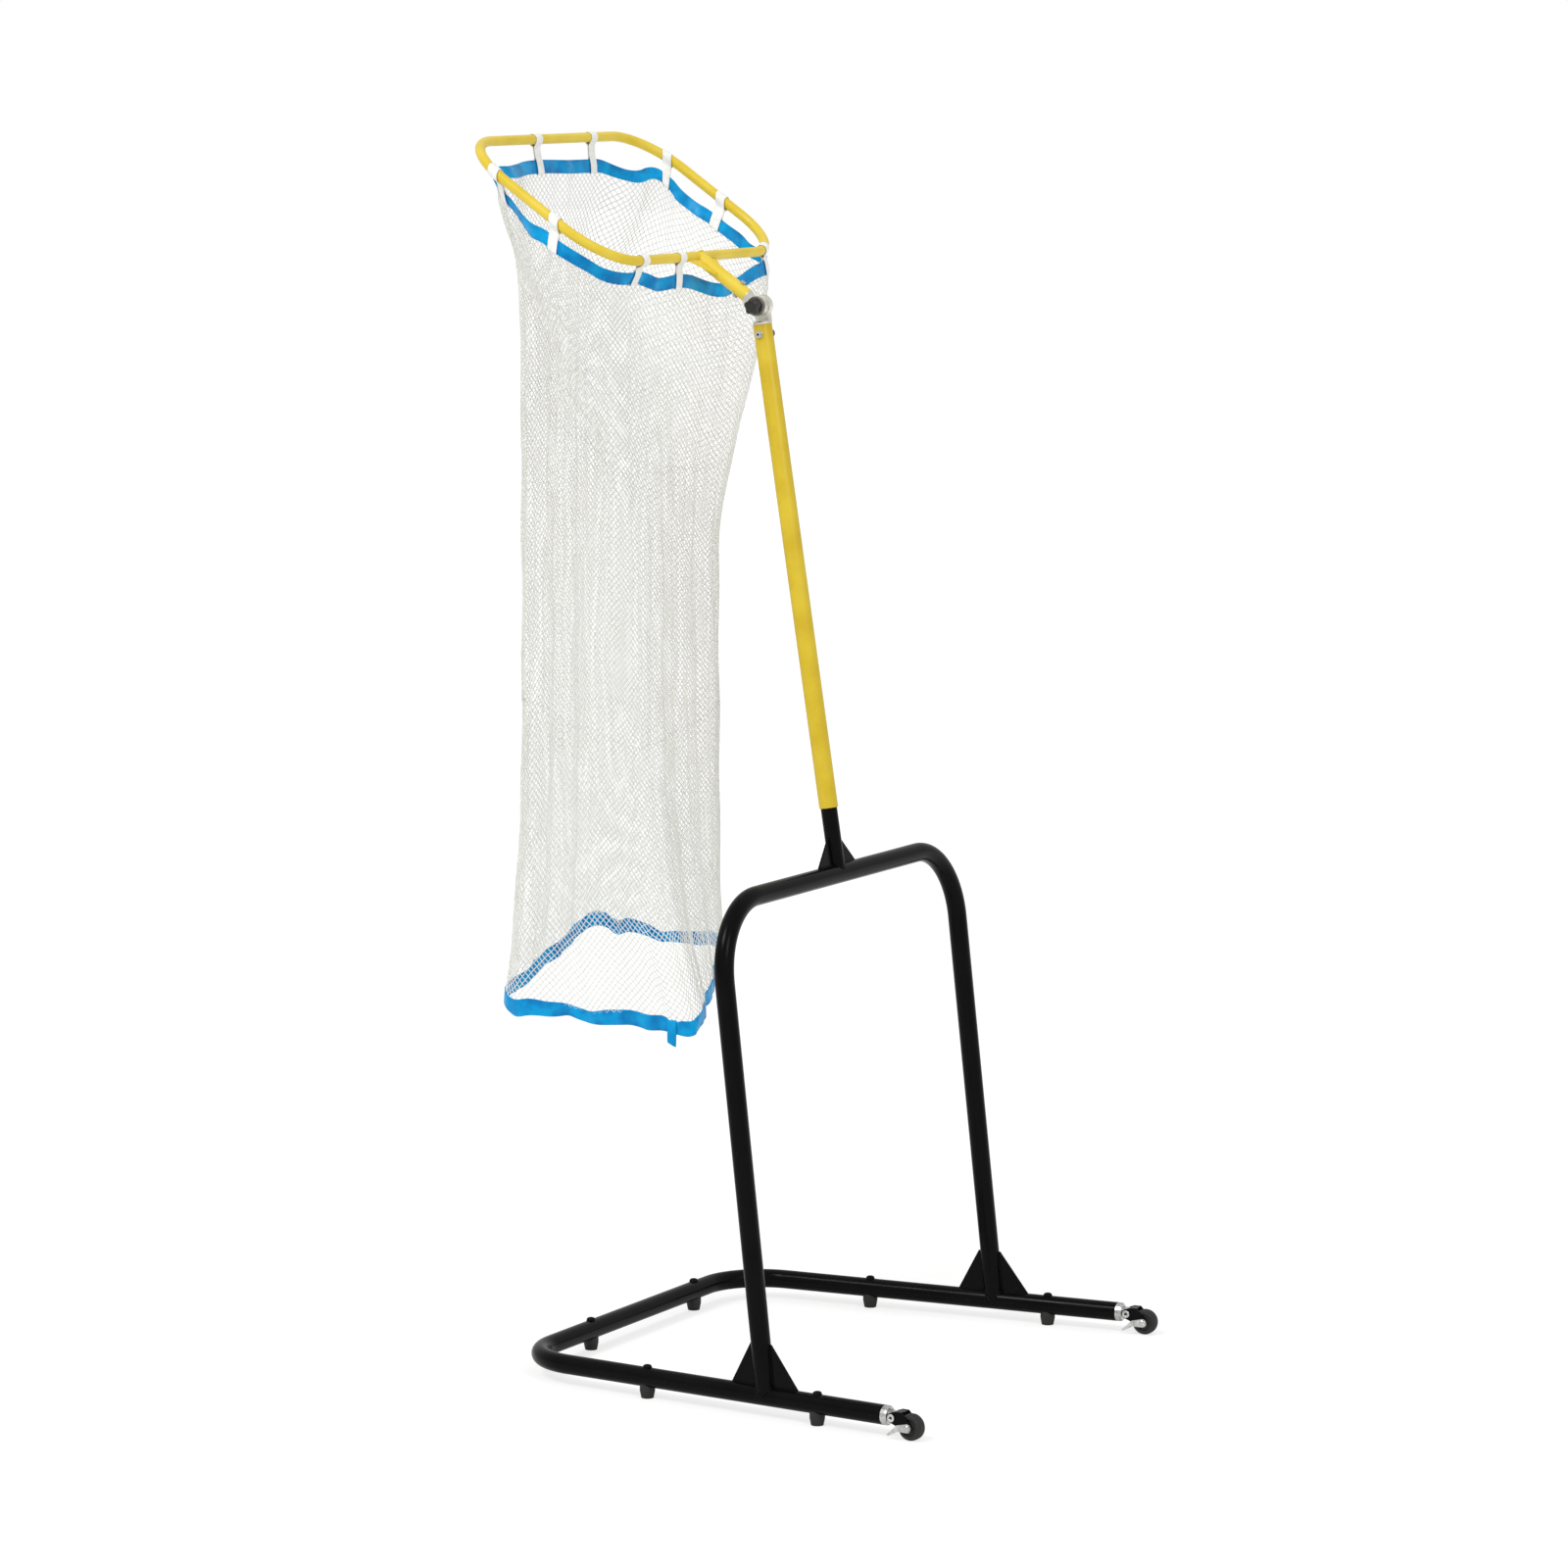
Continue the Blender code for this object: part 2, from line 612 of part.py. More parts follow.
def joint_plate(bm, along, outline, start_y, end_y):
    """A plate square to Y beside the pivot. The outline is drawn across and along the given direction."""
    across = Y_AXIS.cross(along)
    points = [PIVOT + across * a + along * b + Y_AXIS * start_y for a, b in outline]
    plate(bm, points, Y_AXIS * (end_y - start_y))


def pivot_hole(label, axis):
    """A cutter for the pivot bolt's way through the joint."""
    bm = bmesh.new()
    reach = Y_AXIS * POLE_OD
    straight_tube(bm, PIVOT - reach, PIVOT + reach, JOINT_BOLT_RADIUS + BORE_GAP, 12, up=Z_AXIS)
    return piece(f"cut_pivot_{label}", bm, "zinc", axis)


def build_joint_base(mast):
    """The joint's lower half: a spigot in the pole, a flange on its end and the far cheek."""
    flange = POLE_END + GAP
    centre = TOP_BAR
    bm = bmesh.new()
    spigot = POLE_BORE - SLIP
    profile = [(0, POLE_END - SPIGOT_DEPTH), (spigot, POLE_END - SPIGOT_DEPTH), (spigot, flange)]
    profile += [(POLE_R, flange), (POLE_R, flange + FLANGE_HEIGHT * 0.6)]
    profile += [(POLE_R * 0.9, flange + FLANGE_HEIGHT)]
    profile += [(0, flange + FLANGE_HEIGHT)]
    turned(bm, centre, MAST_DIRECTION, profile, POLE_SIDES, start=Y_AXIS)
    base = piece("joint_base", bm, "cast_alloy", mast)
    low = flange + FLANGE_HEIGHT * 0.3 - POLE_END - PIVOT_ABOVE_POLE
    outline = [(-NECK_HALF_WIDTH, low), (NECK_HALF_WIDTH, low)]
    outline += arc_points((0, 0), CHEEK_RADIUS, -45, 225, 16)
    bm = bmesh.new()
    joint_plate(bm, MAST_DIRECTION, outline, GAP / 2, CHEEK_THICKNESS)
    shape(base, piece("join_cheek", bm, "cast_alloy", mast), "UNION")
    shape(base, pivot_hole("base", mast))
    shape(base, clamp_hole("base", mast))

    bm = bmesh.new()
    profile_end = JOINT_BOLT_HEAD_HEIGHT + CHEEK_THICKNESS + GAP - KNOB_FACE + KNOB_THICKNESS * 0.8
    profile = [(0, 0), (JOINT_BOLT_HEAD_RADIUS, 0), (JOINT_BOLT_HEAD_RADIUS, JOINT_BOLT_HEAD_HEIGHT)]
    profile += [(JOINT_BOLT_RADIUS, JOINT_BOLT_HEAD_HEIGHT), (JOINT_BOLT_RADIUS, profile_end)]
    profile += [(0, profile_end)]
    turned(bm, PIVOT + Y_AXIS * (CHEEK_THICKNESS + GAP + JOINT_BOLT_HEAD_HEIGHT), -Y_AXIS, profile, 12)
    piece("joint_bolt", bm, "zinc", mast)

    bm = bmesh.new()
    bore = JOINT_BOLT_RADIUS + BORE_GAP
    near = -(CHEEK_THICKNESS + GAP)
    far = near - PRESSURE_DISC_THICKNESS
    edge = 0.001
    profile = [(bore, near), (PRESSURE_DISC_RADIUS, near), (PRESSURE_DISC_RADIUS, far + edge)]
    profile += [(PRESSURE_DISC_RADIUS - edge, far), (bore, far)]
    turned(bm, PIVOT, Y_AXIS, profile, 24, closed=True)
    piece("pressure_disc", bm, "dark_alloy", mast)


def build_star_knob(knob):
    """The lobed knob that clamps the tilt joint."""
    bm = bmesh.new()
    points = KNOB_LOBES * 6

    def lobed_ring(distance, scale):
        made = []
        for k in range(points):
            angle = 2 * math.pi * k / points
            radius = KNOB_RADIUS * scale * (1 - KNOB_LOBE_DEPTH * (0.5 - 0.5 * math.cos(KNOB_LOBES * angle)))
            place = PIVOT + Y_AXIS * distance
            offset = Vector((math.sin(angle), 0, math.cos(angle)))
            made.append(bm.verts.new(place + offset * radius))
        return made

    def bore_ring(distance):
        made = []
        for k in range(points):
            angle = 2 * math.pi * k / points
            radius = JOINT_BOLT_RADIUS + BORE_GAP
            place = PIVOT + Y_AXIS * distance
            offset = Vector((math.sin(angle), 0, math.cos(angle)))
            made.append(bm.verts.new(place + offset * radius))
        return made

    front = KNOB_FACE - KNOB_THICKNESS
    rings = [bore_ring(KNOB_FACE - KNOB_THICKNESS * 0.8 - BORE_GAP), bore_ring(KNOB_FACE)]
    rings += [lobed_ring(KNOB_FACE, 0.75), lobed_ring(KNOB_FACE - KNOB_CAP, 1.0)]
    rings += [lobed_ring(front + KNOB_CAP, 1.0), lobed_ring(front, 0.8)]
    bm.faces.new(rings[0])
    for first, second in zip(rings, rings[1:]):
        bridge(bm, first, second)
    bm.faces.new(rings[-1])
    piece("star_knob", bm, "black_plastic", knob)


def build_hoop_stub(tilt):
    """The joint's upper half, the short tube on it, its bolt and the braces at the hoop."""
    collar_end = HEAD_COLLAR_START + HEAD_COLLAR_LENGTH
    spigot = HOOP_STUB_BORE - SLIP
    bm = bmesh.new()
    profile = [(0, HEAD_COLLAR_START), (HOOP_STUB_R * 0.85, HEAD_COLLAR_START)]
    profile += [(HOOP_STUB_R, HEAD_COLLAR_START + HEAD_COLLAR_LENGTH * 0.4), (HOOP_STUB_R, collar_end)]
    spigot_end = collar_end + HEAD_SPIGOT_LENGTH
    profile += [(spigot, collar_end), (spigot, spigot_end), (0, spigot_end)]
    turned(bm, PIVOT, HOOP_DIRECTION, profile, TUBE_SIDES, start=Y_AXIS)
    head = piece("joint_head", bm, "cast_alloy", tilt)
    outline = [(HEAD_ARM_HALF_WIDTH, HEAD_COLLAR_START + HEAD_COLLAR_LENGTH / 2)]
    outline += [(-HEAD_ARM_HALF_WIDTH, HEAD_COLLAR_START + HEAD_COLLAR_LENGTH / 2)]
    outline += arc_points((0, 0), HEAD_DISC_RADIUS, 125, 415, 16)
    bm = bmesh.new()
    joint_plate(bm, HOOP_DIRECTION, outline, -CHEEK_THICKNESS, -GAP / 2)
    shape(head, piece("join_head", bm, "cast_alloy", tilt), "UNION")
    shape(head, pivot_hole("head", tilt))

    bolt_centre = PIVOT + HOOP_DIRECTION * STUB_BOLT_FROM_PIVOT
    seat = HOOP_STUB_R + GAP
    bm = bmesh.new()
    straight_tube(bm, bolt_centre - HOOP_NORMAL * HOOP_STUB_OD, bolt_centre + HOOP_NORMAL * HOOP_STUB_OD,
                  STUB_BOLT_RADIUS + BORE_GAP, 8)
    hole = piece("cut_stub_bolt", bm, "zinc", tilt)
    shape(head, hole)
    bm = bmesh.new()
    outer = seat + STUB_BOLT_HEAD_HEIGHT
    profile = [(0, -outer), (STUB_BOLT_HEAD_RADIUS, -outer), (STUB_BOLT_HEAD_RADIUS, -seat)]
    profile += [(STUB_BOLT_RADIUS, -seat), (STUB_BOLT_RADIUS, seat), (STUB_BOLT_HEAD_RADIUS, seat)]
    profile += [(STUB_BOLT_HEAD_RADIUS, outer), (0, outer)]
    turned(bm, bolt_centre, HOOP_NORMAL, profile, 6)
    piece("stub_bolt", bm, "zinc", tilt)

    bm = bmesh.new()
    straight_tube(bm, PIVOT + HOOP_DIRECTION * (collar_end + GAP), HOOP_REAR, HOOP_STUB_R, TUBE_SIDES,
                  HOOP_STUB_R - HOOP_STUB_WALL)
    stub = piece("hoop_stub", bm, "yellow_enamel", tilt)
    bm = bmesh.new()
    saddle = (HOOP_R + GAP) / math.cos(math.pi / HOOP_SIDES)
    reach = Y_AXIS * HOOP_STUB_OD
    straight_tube(bm, HOOP_REAR - reach, HOOP_REAR + reach, saddle, HOOP_SIDES, up=HOOP_NORMAL)
    shape(stub, piece("cut_hoop_saddle", bm, "zinc", tilt))
    shape(stub, hole)

    bar_face = PIVOT_TO_HOOP - HOOP_R - GAP
    for label, side in (("near", -1), ("far", 1)):
        inner = side * (HOOP_STUB_R + GAP)
        corners = [
            (bar_face, inner),
            (bar_face, inner + side * HOOP_GUSSET_REACH),
            (bar_face - HOOP_GUSSET_RISE, inner + side * GUSSET_LEDGE),
            (bar_face - HOOP_GUSSET_RISE, inner),
        ]
        half = HOOP_NORMAL * (HOOP_GUSSET_THICKNESS / 2)
        outline = [PIVOT + HOOP_DIRECTION * a + Y_AXIS * y - half for a, y in corners]
        bm = bmesh.new()
        plate(bm, outline, half * 2)
        piece(f"hoop_gusset_{label}", bm, "yellow_enamel", tilt, round_piece=False)


def build_hoop(tilt):
    """The hoop: a closed rounded rectangle of tube, vented into its stub."""
    half = Y_AXIS * (HOOP_WIDTH / 2)
    front = HOOP_REAR + HOOP_DIRECTION * HOOP_LENGTH
    corners = [HOOP_REAR + half, front + half, front - half, HOOP_REAR - half]
    path = rounded_path(corners, HOOP_CORNER, HOOP_BEND_STEPS, closed=True)
    bm = bmesh.new()
    swept_tube(bm, path, HOOP_NORMAL, HOOP_R, HOOP_SIDES, HOOP_R - HOOP_WALL, HOOP_BORE_SIDES, closed=True)
    hoop = piece("hoop_tube", bm, "yellow_enamel", tilt, outward=False)
    bm = bmesh.new()
    straight_tube(bm, HOOP_REAR - HOOP_DIRECTION * HOOP_OD, HOOP_REAR, VENT_RADIUS, 8)
    shape(hoop, piece("cut_vent", bm, "zinc", tilt))


def hoop_place(share):
    """Point and direction on the hoop's centre line, a share of the way round from the rear towards +Y."""
    rear = HOOP_WIDTH / 2 - HOOP_CORNER
    arc = HOOP_CORNER * math.pi / 2
    side = HOOP_LENGTH - 2 * HOOP_CORNER
    stretches = (("rear", rear), ("arc", arc), ("side", side), ("arc", arc), ("front", 2 * rear))
    stretches += (("arc", arc), ("side", side), ("arc", arc), ("rear", rear))
    left = (share % 1.0) * sum(length for kind, length in stretches)
    heading = 0.0
    along, across = 0.0, 0.0
    on_bend = False
    for kind, length in stretches:
        step = min(left, length)
        if kind == "arc":
            turn = step / HOOP_CORNER
            across += HOOP_CORNER * (math.sin(heading + turn) - math.sin(heading)) if step else 0.0
            along += HOOP_CORNER * (math.cos(heading) - math.cos(heading + turn)) if step else 0.0
            heading += turn
        else:
            across += step * math.cos(heading)
            along += step * math.sin(heading)
        on_bend = kind == "arc"
        left -= step
        if left <= 1e-12:
            break
    point = HOOP_REAR + HOOP_DIRECTION * along + Y_AXIS * across
    direction = HOOP_DIRECTION * math.sin(heading) + Y_AXIS * math.cos(heading)
    return point, direction, on_bend


def inward_at(point, direction):
    """The level direction square to the hoop at a point, towards its centre."""
    level = Vector((direction.y, -direction.x, 0)).normalized()
    if level.dot(HOOP_CENTRE - point) < 0:
        level = -level
    return level


def hem_drop(share):
    """How far inwards and down the hem's lower edge lies from the hoop at a share of the way round."""
    share = share % 1.0
    count = len(STRAPS)
    for i in range(count):
        label, start, pull_a, drop_a, draw, sag = STRAPS[i]
        label, end, pull_b, drop_b = STRAPS[(i + 1) % count][:4]
        span = (end - start) % 1.0
        run = (share - start) % 1.0
        if run <= span:
            held = STRAP_HOLD / hoop_length()
            part = min(max((run - held) / (span - 2 * held), 0.0), 1.0)
            ease = part * part * (3 - 2 * part)
            free = math.sin(math.pi * part) ** 2
            pull = pull_a + (pull_b - pull_a) * ease + draw * free
            return pull, drop_a + (drop_b - drop_a) * ease + sag * free
    return STRAPS[0][2], STRAPS[0][3]


def net_shares():
    """Where the hem and the net have their upright lines: at each strap, at its edges and between them."""
    shares = []
    held = STRAP_HOLD / hoop_length()
    for i in range(len(STRAPS)):
        start = STRAPS[i][1]
        span = (STRAPS[(i + 1) % len(STRAPS)][1] - start) % 1.0
        shares.append(start)
        for k in range(SPAN_STEPS + 1):
            shares.append((start + held + (span - 2 * held) * k / SPAN_STEPS) % 1.0)
    return sorted(shares)


def hoop_length():
    """Length of the hoop's centre line."""
    return 2 * (HOOP_WIDTH + HOOP_LENGTH) - HOOP_CORNER * (8 - 2 * math.pi)


def hem_edges(share):
    """Upper and lower point of the top hem and the inward direction at a share of the way round."""
    point, direction, on_bend = hoop_place(share)
    inward = inward_at(point, direction)
    pull, drop = hem_drop(share)
    hang = inward * pull - Z_AXIS * drop
    lower = point + hang
    upper = lower - hang.normalized() * HEM_HEIGHT
    return upper, lower, inward


def build_straps(tilt):
    """The webbing loops that hang the top hem from the hoop."""
    half = (STRAP_WIDTH / 2) / hoop_length()
    for label, share, pull, drop, draw, sag in STRAPS:
        room = GAP
        if any(hoop_place(share + shift)[2] for shift in (-half, 0, half)):
            room += HOOP_CORNER * (1 - math.cos(math.pi / 4 / HOOP_BEND_STEPS)) + GAP
        bm = bmesh.new()
        ends = [strap_rings(bm, share + shift, pull, drop, room) for shift in (-half, 0, half)]
        for first, second in zip(ends, ends[1:]):
            bridge(bm, first[0], second[0])
            bridge(bm, second[1], first[1])
        bridge(bm, ends[0][1], ends[0][0])
        bridge(bm, ends[-1][0], ends[-1][1])
        piece(f"strap_{label}", bm, "white_webbing", tilt)


def strap_rings(bm, share, pull, drop, room):
    """The outer and inner line of a strap's loop, round the hoop above and the hem below."""
    point, direction, on_bend = hoop_place(share)
    inward = inward_at(point, direction)
    hang = inward * pull - Z_AXIS * drop
    down = hang.normalized()
    side = (inward - down * inward.dot(down)).normalized()
    top_radius = (HOOP_R + room) / math.sqrt(1 - direction.z ** 2)
    end_centre = hang.length - STRAP_END_RADIUS + STRAP_END_ROOM
    taper = math.degrees(math.asin((top_radius - STRAP_END_RADIUS) / end_centre))
    rings = []
    for extra in (STRAP_THICKNESS, 0.0):
        loop = arc_points((0, 0), top_radius + extra, -taper, 180 + taper, STRAP_TOP_STEPS)
        end_radius = STRAP_END_RADIUS + extra
        loop += arc_points((0, -end_centre), end_radius, 180 + taper, 360 - taper, STRAP_END_STEPS)
        rings.append([bm.verts.new(point + side * a - down * b) for a, b in loop])
    return rings


def band(bm, upper, lower, inward, thickness):
    """A closed flat band round a loop, between an upper and a lower line of points on its outer face."""
    rings = []
    for line, depth in ((upper, 0.0), (lower, 0.0), (lower, thickness), (upper, thickness)):
        rings.append([bm.verts.new(point + way * depth) for point, way in zip(line, inward)])
    for first, second in zip(rings, rings[1:] + rings[:1]):
        bridge(bm, first, second)


def build_top_hem(tilt):
    """The blue hem that hangs in the straps."""
    edges = [hem_edges(share) for share in net_shares()]
    upper = [top - way * (HEM_THICKNESS / 2) for top, low, way in edges]
    lower = [low - way * (HEM_THICKNESS / 2) for top, low, way in edges]
    bm = bmesh.new()
    band(bm, upper, lower, [way for top, low, way in edges], HEM_THICKNESS)
    piece("top_hem", bm, "blue_hem", tilt)


def section_place(share, centre, half, corner):
    """Level point on a rounded rectangle, a share of the way round from its rear side's middle to +Y."""
    rear = half[1] - corner
    side = half[0] - corner
    arc = corner * math.pi / 2
    stretches = [(0, rear), (1, arc), (0, 2 * side), (1, arc), (0, 2 * rear)]
    stretches += [(1, arc), (0, 2 * side), (1, arc), (0, rear)]
    left = (share % 1.0) * sum(length for turns, length in stretches)
    heading = 0.0
    x, y = centre[0] + half[0], centre[1]
    for turns, length in stretches:
        step = min(left, length)
        if turns:
            turn = step / corner
            y += corner * (math.sin(heading + turn) - math.sin(heading))
            x -= corner * (math.cos(heading) - math.cos(heading + turn))
            heading += turn
        else:
            y += step * math.cos(heading)
            x -= step * math.sin(heading)
        left -= step
        if left <= 1e-12:
            break
    return x, y


def rim_place(share):
    """Point on the lower rim, which is longer and lower on the near side than on the far side."""
    x, y = section_place(share, (0.0, 0.0), (1.0, 1.0), RIM_CORNER / RIM_HALF_WIDTH)
    far = (y + 1) / 2
    rear = (x + 1) / 2
    near_x = RIM_NEAR_X[0] + (RIM_NEAR_X[1] - RIM_NEAR_X[0]) * rear
    far_x = RIM_FAR_X[0] + (RIM_FAR_X[1] - RIM_FAR_X[0]) * rear
    near_z = RIM_NEAR_Z[0] + (RIM_NEAR_Z[1] - RIM_NEAR_Z[0]) * rear
    far_z = RIM_FAR_Z[0] + (RIM_FAR_Z[1] - RIM_FAR_Z[0]) * rear
    return Vector((near_x + (far_x - near_x) * far, y * RIM_HALF_WIDTH, near_z + (far_z - near_z) * far))


def net_place(share, height, top, bottom):
    """Point of the net at a share of the way round and a height, between the hem above and the rim below."""
    front = (HOOP_REAR.x - top.x) / (HOOP_LENGTH * math.cos(HOOP_TILT))
    funnel = NET_FUNNEL_REAR + (NET_FUNNEL_FRONT - NET_FUNNEL_REAR) * front
    fallen = min(max((top.z - height) / funnel, 0.0), 1.0)
    ease = fallen * fallen * (3 - 2 * fallen)
    x, y = section_place(share, NET_BODY_CENTRE, NET_BODY_HALF, NET_BODY_CORNER)
    flared = min(max((NET_WAIST_HEIGHT - height) / (NET_WAIST_HEIGHT - bottom.z), 0.0), 1.0)
    flare = flared ** NET_FLARE_POWER
    x += (bottom.x - x) * flare
    y += (bottom.y - y) * flare
    x = top.x + (x - top.x) * ease
    y = top.y + (y - top.y) * ease
    return Vector((x, y, height))


def bar_shares():
    """Where the open net has its upright lines: both edges of each bar and the middle of each opening."""
    half = NET_BAR_SHARE / 2
    lines = []
    for k in range(NET_GAPS_ROUND):
        for step in (half, 0.5, 1 - half):
            lines.append((k + 0.5 + step) / NET_GAPS_ROUND % 1.0)
    return sorted(lines)


def gap_parts(first, last, rows):
    """Upper and lower edge of each row of openings between two parts of the net's height."""
    step = (last - first) / rows
    half = step * NET_BAR_SHARE / 2
    edges = []
    for row in range(rows):
        edges += [first + row * step + half, first + (row + 1) * step - half]
    return edges


def net_ring(part, low_edge, shares):
    """A ring of the net: part runs from 0 at the hem to 1 at the split, then to 2 at the lower hem."""
    points = []
    for share in shares:
        upper, lower, inward = hem_edges(share)
        top = lower - Z_AXIS * (STRAP_END_ROOM + STRAP_THICKNESS + GAP + SLIP)
        bottom = rim_place(share) + Z_AXIS * (RIM_HEM_HEIGHT + SEAM_GAP)
        if part <= 1.0:
            height = top.z + (NET_SPLIT_HEIGHT + low_edge - top.z) * part
        else:
            height = NET_SPLIT_HEIGHT + low_edge + (bottom.z - NET_SPLIT_HEIGHT - low_edge) * (part - 1.0)
        points.append(net_place(share, height, top, bottom))
    return fold(points, shares, part)


def fold(points, shares, part):
    """Lays the main folds into a ring, which begin below the hem."""
    depth = NET_FOLD_DEPTH * min(part, 1.0)
    inward = ring_normals(points)
    folded = []
    for share, point, way in zip(shares, points, inward):
        wave = math.cos(2 * math.pi * NET_FOLDS * share)
        folded.append(point + way * (depth * (0.5 - 0.5 * wave)))
    return folded


def ring_normals(points):
    """The level inward direction at each point of a ring that runs from the rear towards +Y."""
    count = len(points)
    normals = []
    for k in range(count):
        along = points[(k + 1) % count] - points[k - 1]
        normals.append(Vector((-along.y, along.x, 0)).normalized())
    return normals


def net_wall(bm, parts, low_edge):
    """A thin wall down a stack of rings, with a row of openings between each second ring and the next.

    The rings that meet a hem have the hem's own points, and the others the edges of the bars.
    """
    shares = [net_shares() if part in (0, 2) else bar_shares() for part in parts]
    outer = []
    inner = []
    for part, lines in zip(parts, shares):
        points = net_ring(part, low_edge, lines)
        outer.append([bm.verts.new(point) for point in points])
        inner.append([bm.verts.new(p + n * NET_THICKNESS) for p, n in zip(points, ring_normals(points))])
    for row in range(len(parts) - 1):
        if len(shares[row]) != len(shares[row + 1]):
            zip_rings(bm, outer[row], outer[row + 1], shares[row], shares[row + 1])
            zip_rings(bm, inner[row], inner[row + 1], shares[row], shares[row + 1])
        elif row % 2:
            open_row(bm, outer[row:row + 2], inner[row:row + 2])
        else:
            bridge(bm, outer[row], outer[row + 1])
            bridge(bm, inner[row + 1], inner[row])
    bridge(bm, inner[0], outer[0])
    bridge(bm, outer[-1], inner[-1])


def zip_rings(bm, first, second, first_shares, second_shares):
    """Joins two rings of unlike counts with triangles, in the order of their shares of the way round."""
    a = b = 0
    while a < len(first) or b < len(second):
        next_a = first_shares[(a + 1) % len(first)] + (a + 1) // len(first)
        next_b = second_shares[(b + 1) % len(second)] + (b + 1) // len(second)
        corners = [first[a % len(first)], second[b % len(second)]]
        if a < len(first) and (b == len(second) or next_a <= next_b):
            a += 1
            corners.append(first[a % len(first)])
        else:
            b += 1
            corners.append(second[b % len(second)])
        bm.faces.new(corners)


def open_row(bm, outer, inner):
    """A row of bars between two rings, with an opening two columns wide between them."""
    count = len(outer[0])
    for k in range(count):
        after = (k + 1) % count
        if k % 3 == 1:
            for wall in (outer, inner):
                bm.faces.new((wall[0][k], wall[0][after], wall[1][after], wall[1][k]))
            for edge in (k, after):
                bm.faces.new((outer[0][edge], outer[1][edge], inner[1][edge], inner[0][edge]))
        else:
            for level in (0, 1):
                bm.faces.new((outer[level][k], outer[level][after], inner[level][after], inner[level][k]))


def build_net(tilt, hang):
    """The net tube in two lengths, the upper one gathered into the hem, and the hem round its lower rim.

    A plain grid of openings stands for the fine mesh.
    """
    bm = bmesh.new()
    net_wall(bm, [0, *gap_parts(0, 1, NET_TOP_GAP_ROWS), 1], GAP / 2)
    piece("net_top", bm, "white_net", tilt)
    bm = bmesh.new()
    net_wall(bm, [1, *gap_parts(1, 2, NET_BODY_GAP_ROWS), 2], -GAP / 2)
    piece("net_body", bm, "white_net", hang)

    lower = fold([rim_place(share) for share in net_shares()], net_shares(), 1.0)
    inward = ring_normals(lower)
    upper = [point + Z_AXIS * RIM_HEM_HEIGHT for point in lower]
    bm = bmesh.new()
    band(bm, upper, lower, inward, NET_THICKNESS)
    hem = piece("bottom_hem", bm, "blue_hem", hang)
    index = round(KNOT_SHARE * len(lower))
    centre = lower[index] + Z_AXIS * (RIM_HEM_HEIGHT / 2)
    bm = bmesh.new()
    bmesh.ops.create_icosphere(bm, subdivisions=1, radius=KNOT_RADIUS, matrix=Matrix.Translation(centre))
    shape(hem, piece("join_knot", bm, "blue_hem", hang), "UNION")
    along = Z_AXIS.cross(inward[index]) * (TAIL_WIDTH / 2)
    foot = centre - Z_AXIS * TAIL_LENGTH - inward[index] * (TAIL_WIDTH / 2)
    outline = [centre + along, centre - along, foot - along * 0.6, foot + along * 0.6]
    bm = bmesh.new()
    plate(bm, outline, -inward[index] * NET_THICKNESS)
    shape(hem, piece("join_tail", bm, "blue_hem", hang), "UNION")


class CasterFrame:
    """Places on one caster: along its arm from the tube's end, across it and up from the tube's axis."""

    def __init__(self, side):
        self.label = "near" if side < 0 else "far"
        self.along = arm_direction(side)
        self.across = Z_AXIS.cross(self.along)
        self.end = arm_point(side, BASE_LENGTH)
        self.wheel = self.at(CASTER_X, 0, WHEEL_RADIUS - FLOOR_TO_TUBE)
        self.pin = self.at(YOKE_PIN_X, 0, 0)

    def at(self, x, y, z):
        """A point from its distance along, across and up."""
        return self.end + self.along * x + self.across * y + Z_AXIS * z

    def hole(self, label, centre, radius, axis):
        """A cutter across the caster."""
        bm = bmesh.new()
        reach = self.across * (WHEEL_WIDTH * 2)
        straight_tube(bm, centre - reach, centre + reach, radius, 12, up=Z_AXIS)
        return piece(f"cut_{label}_{self.label}", bm, "zinc", axis)


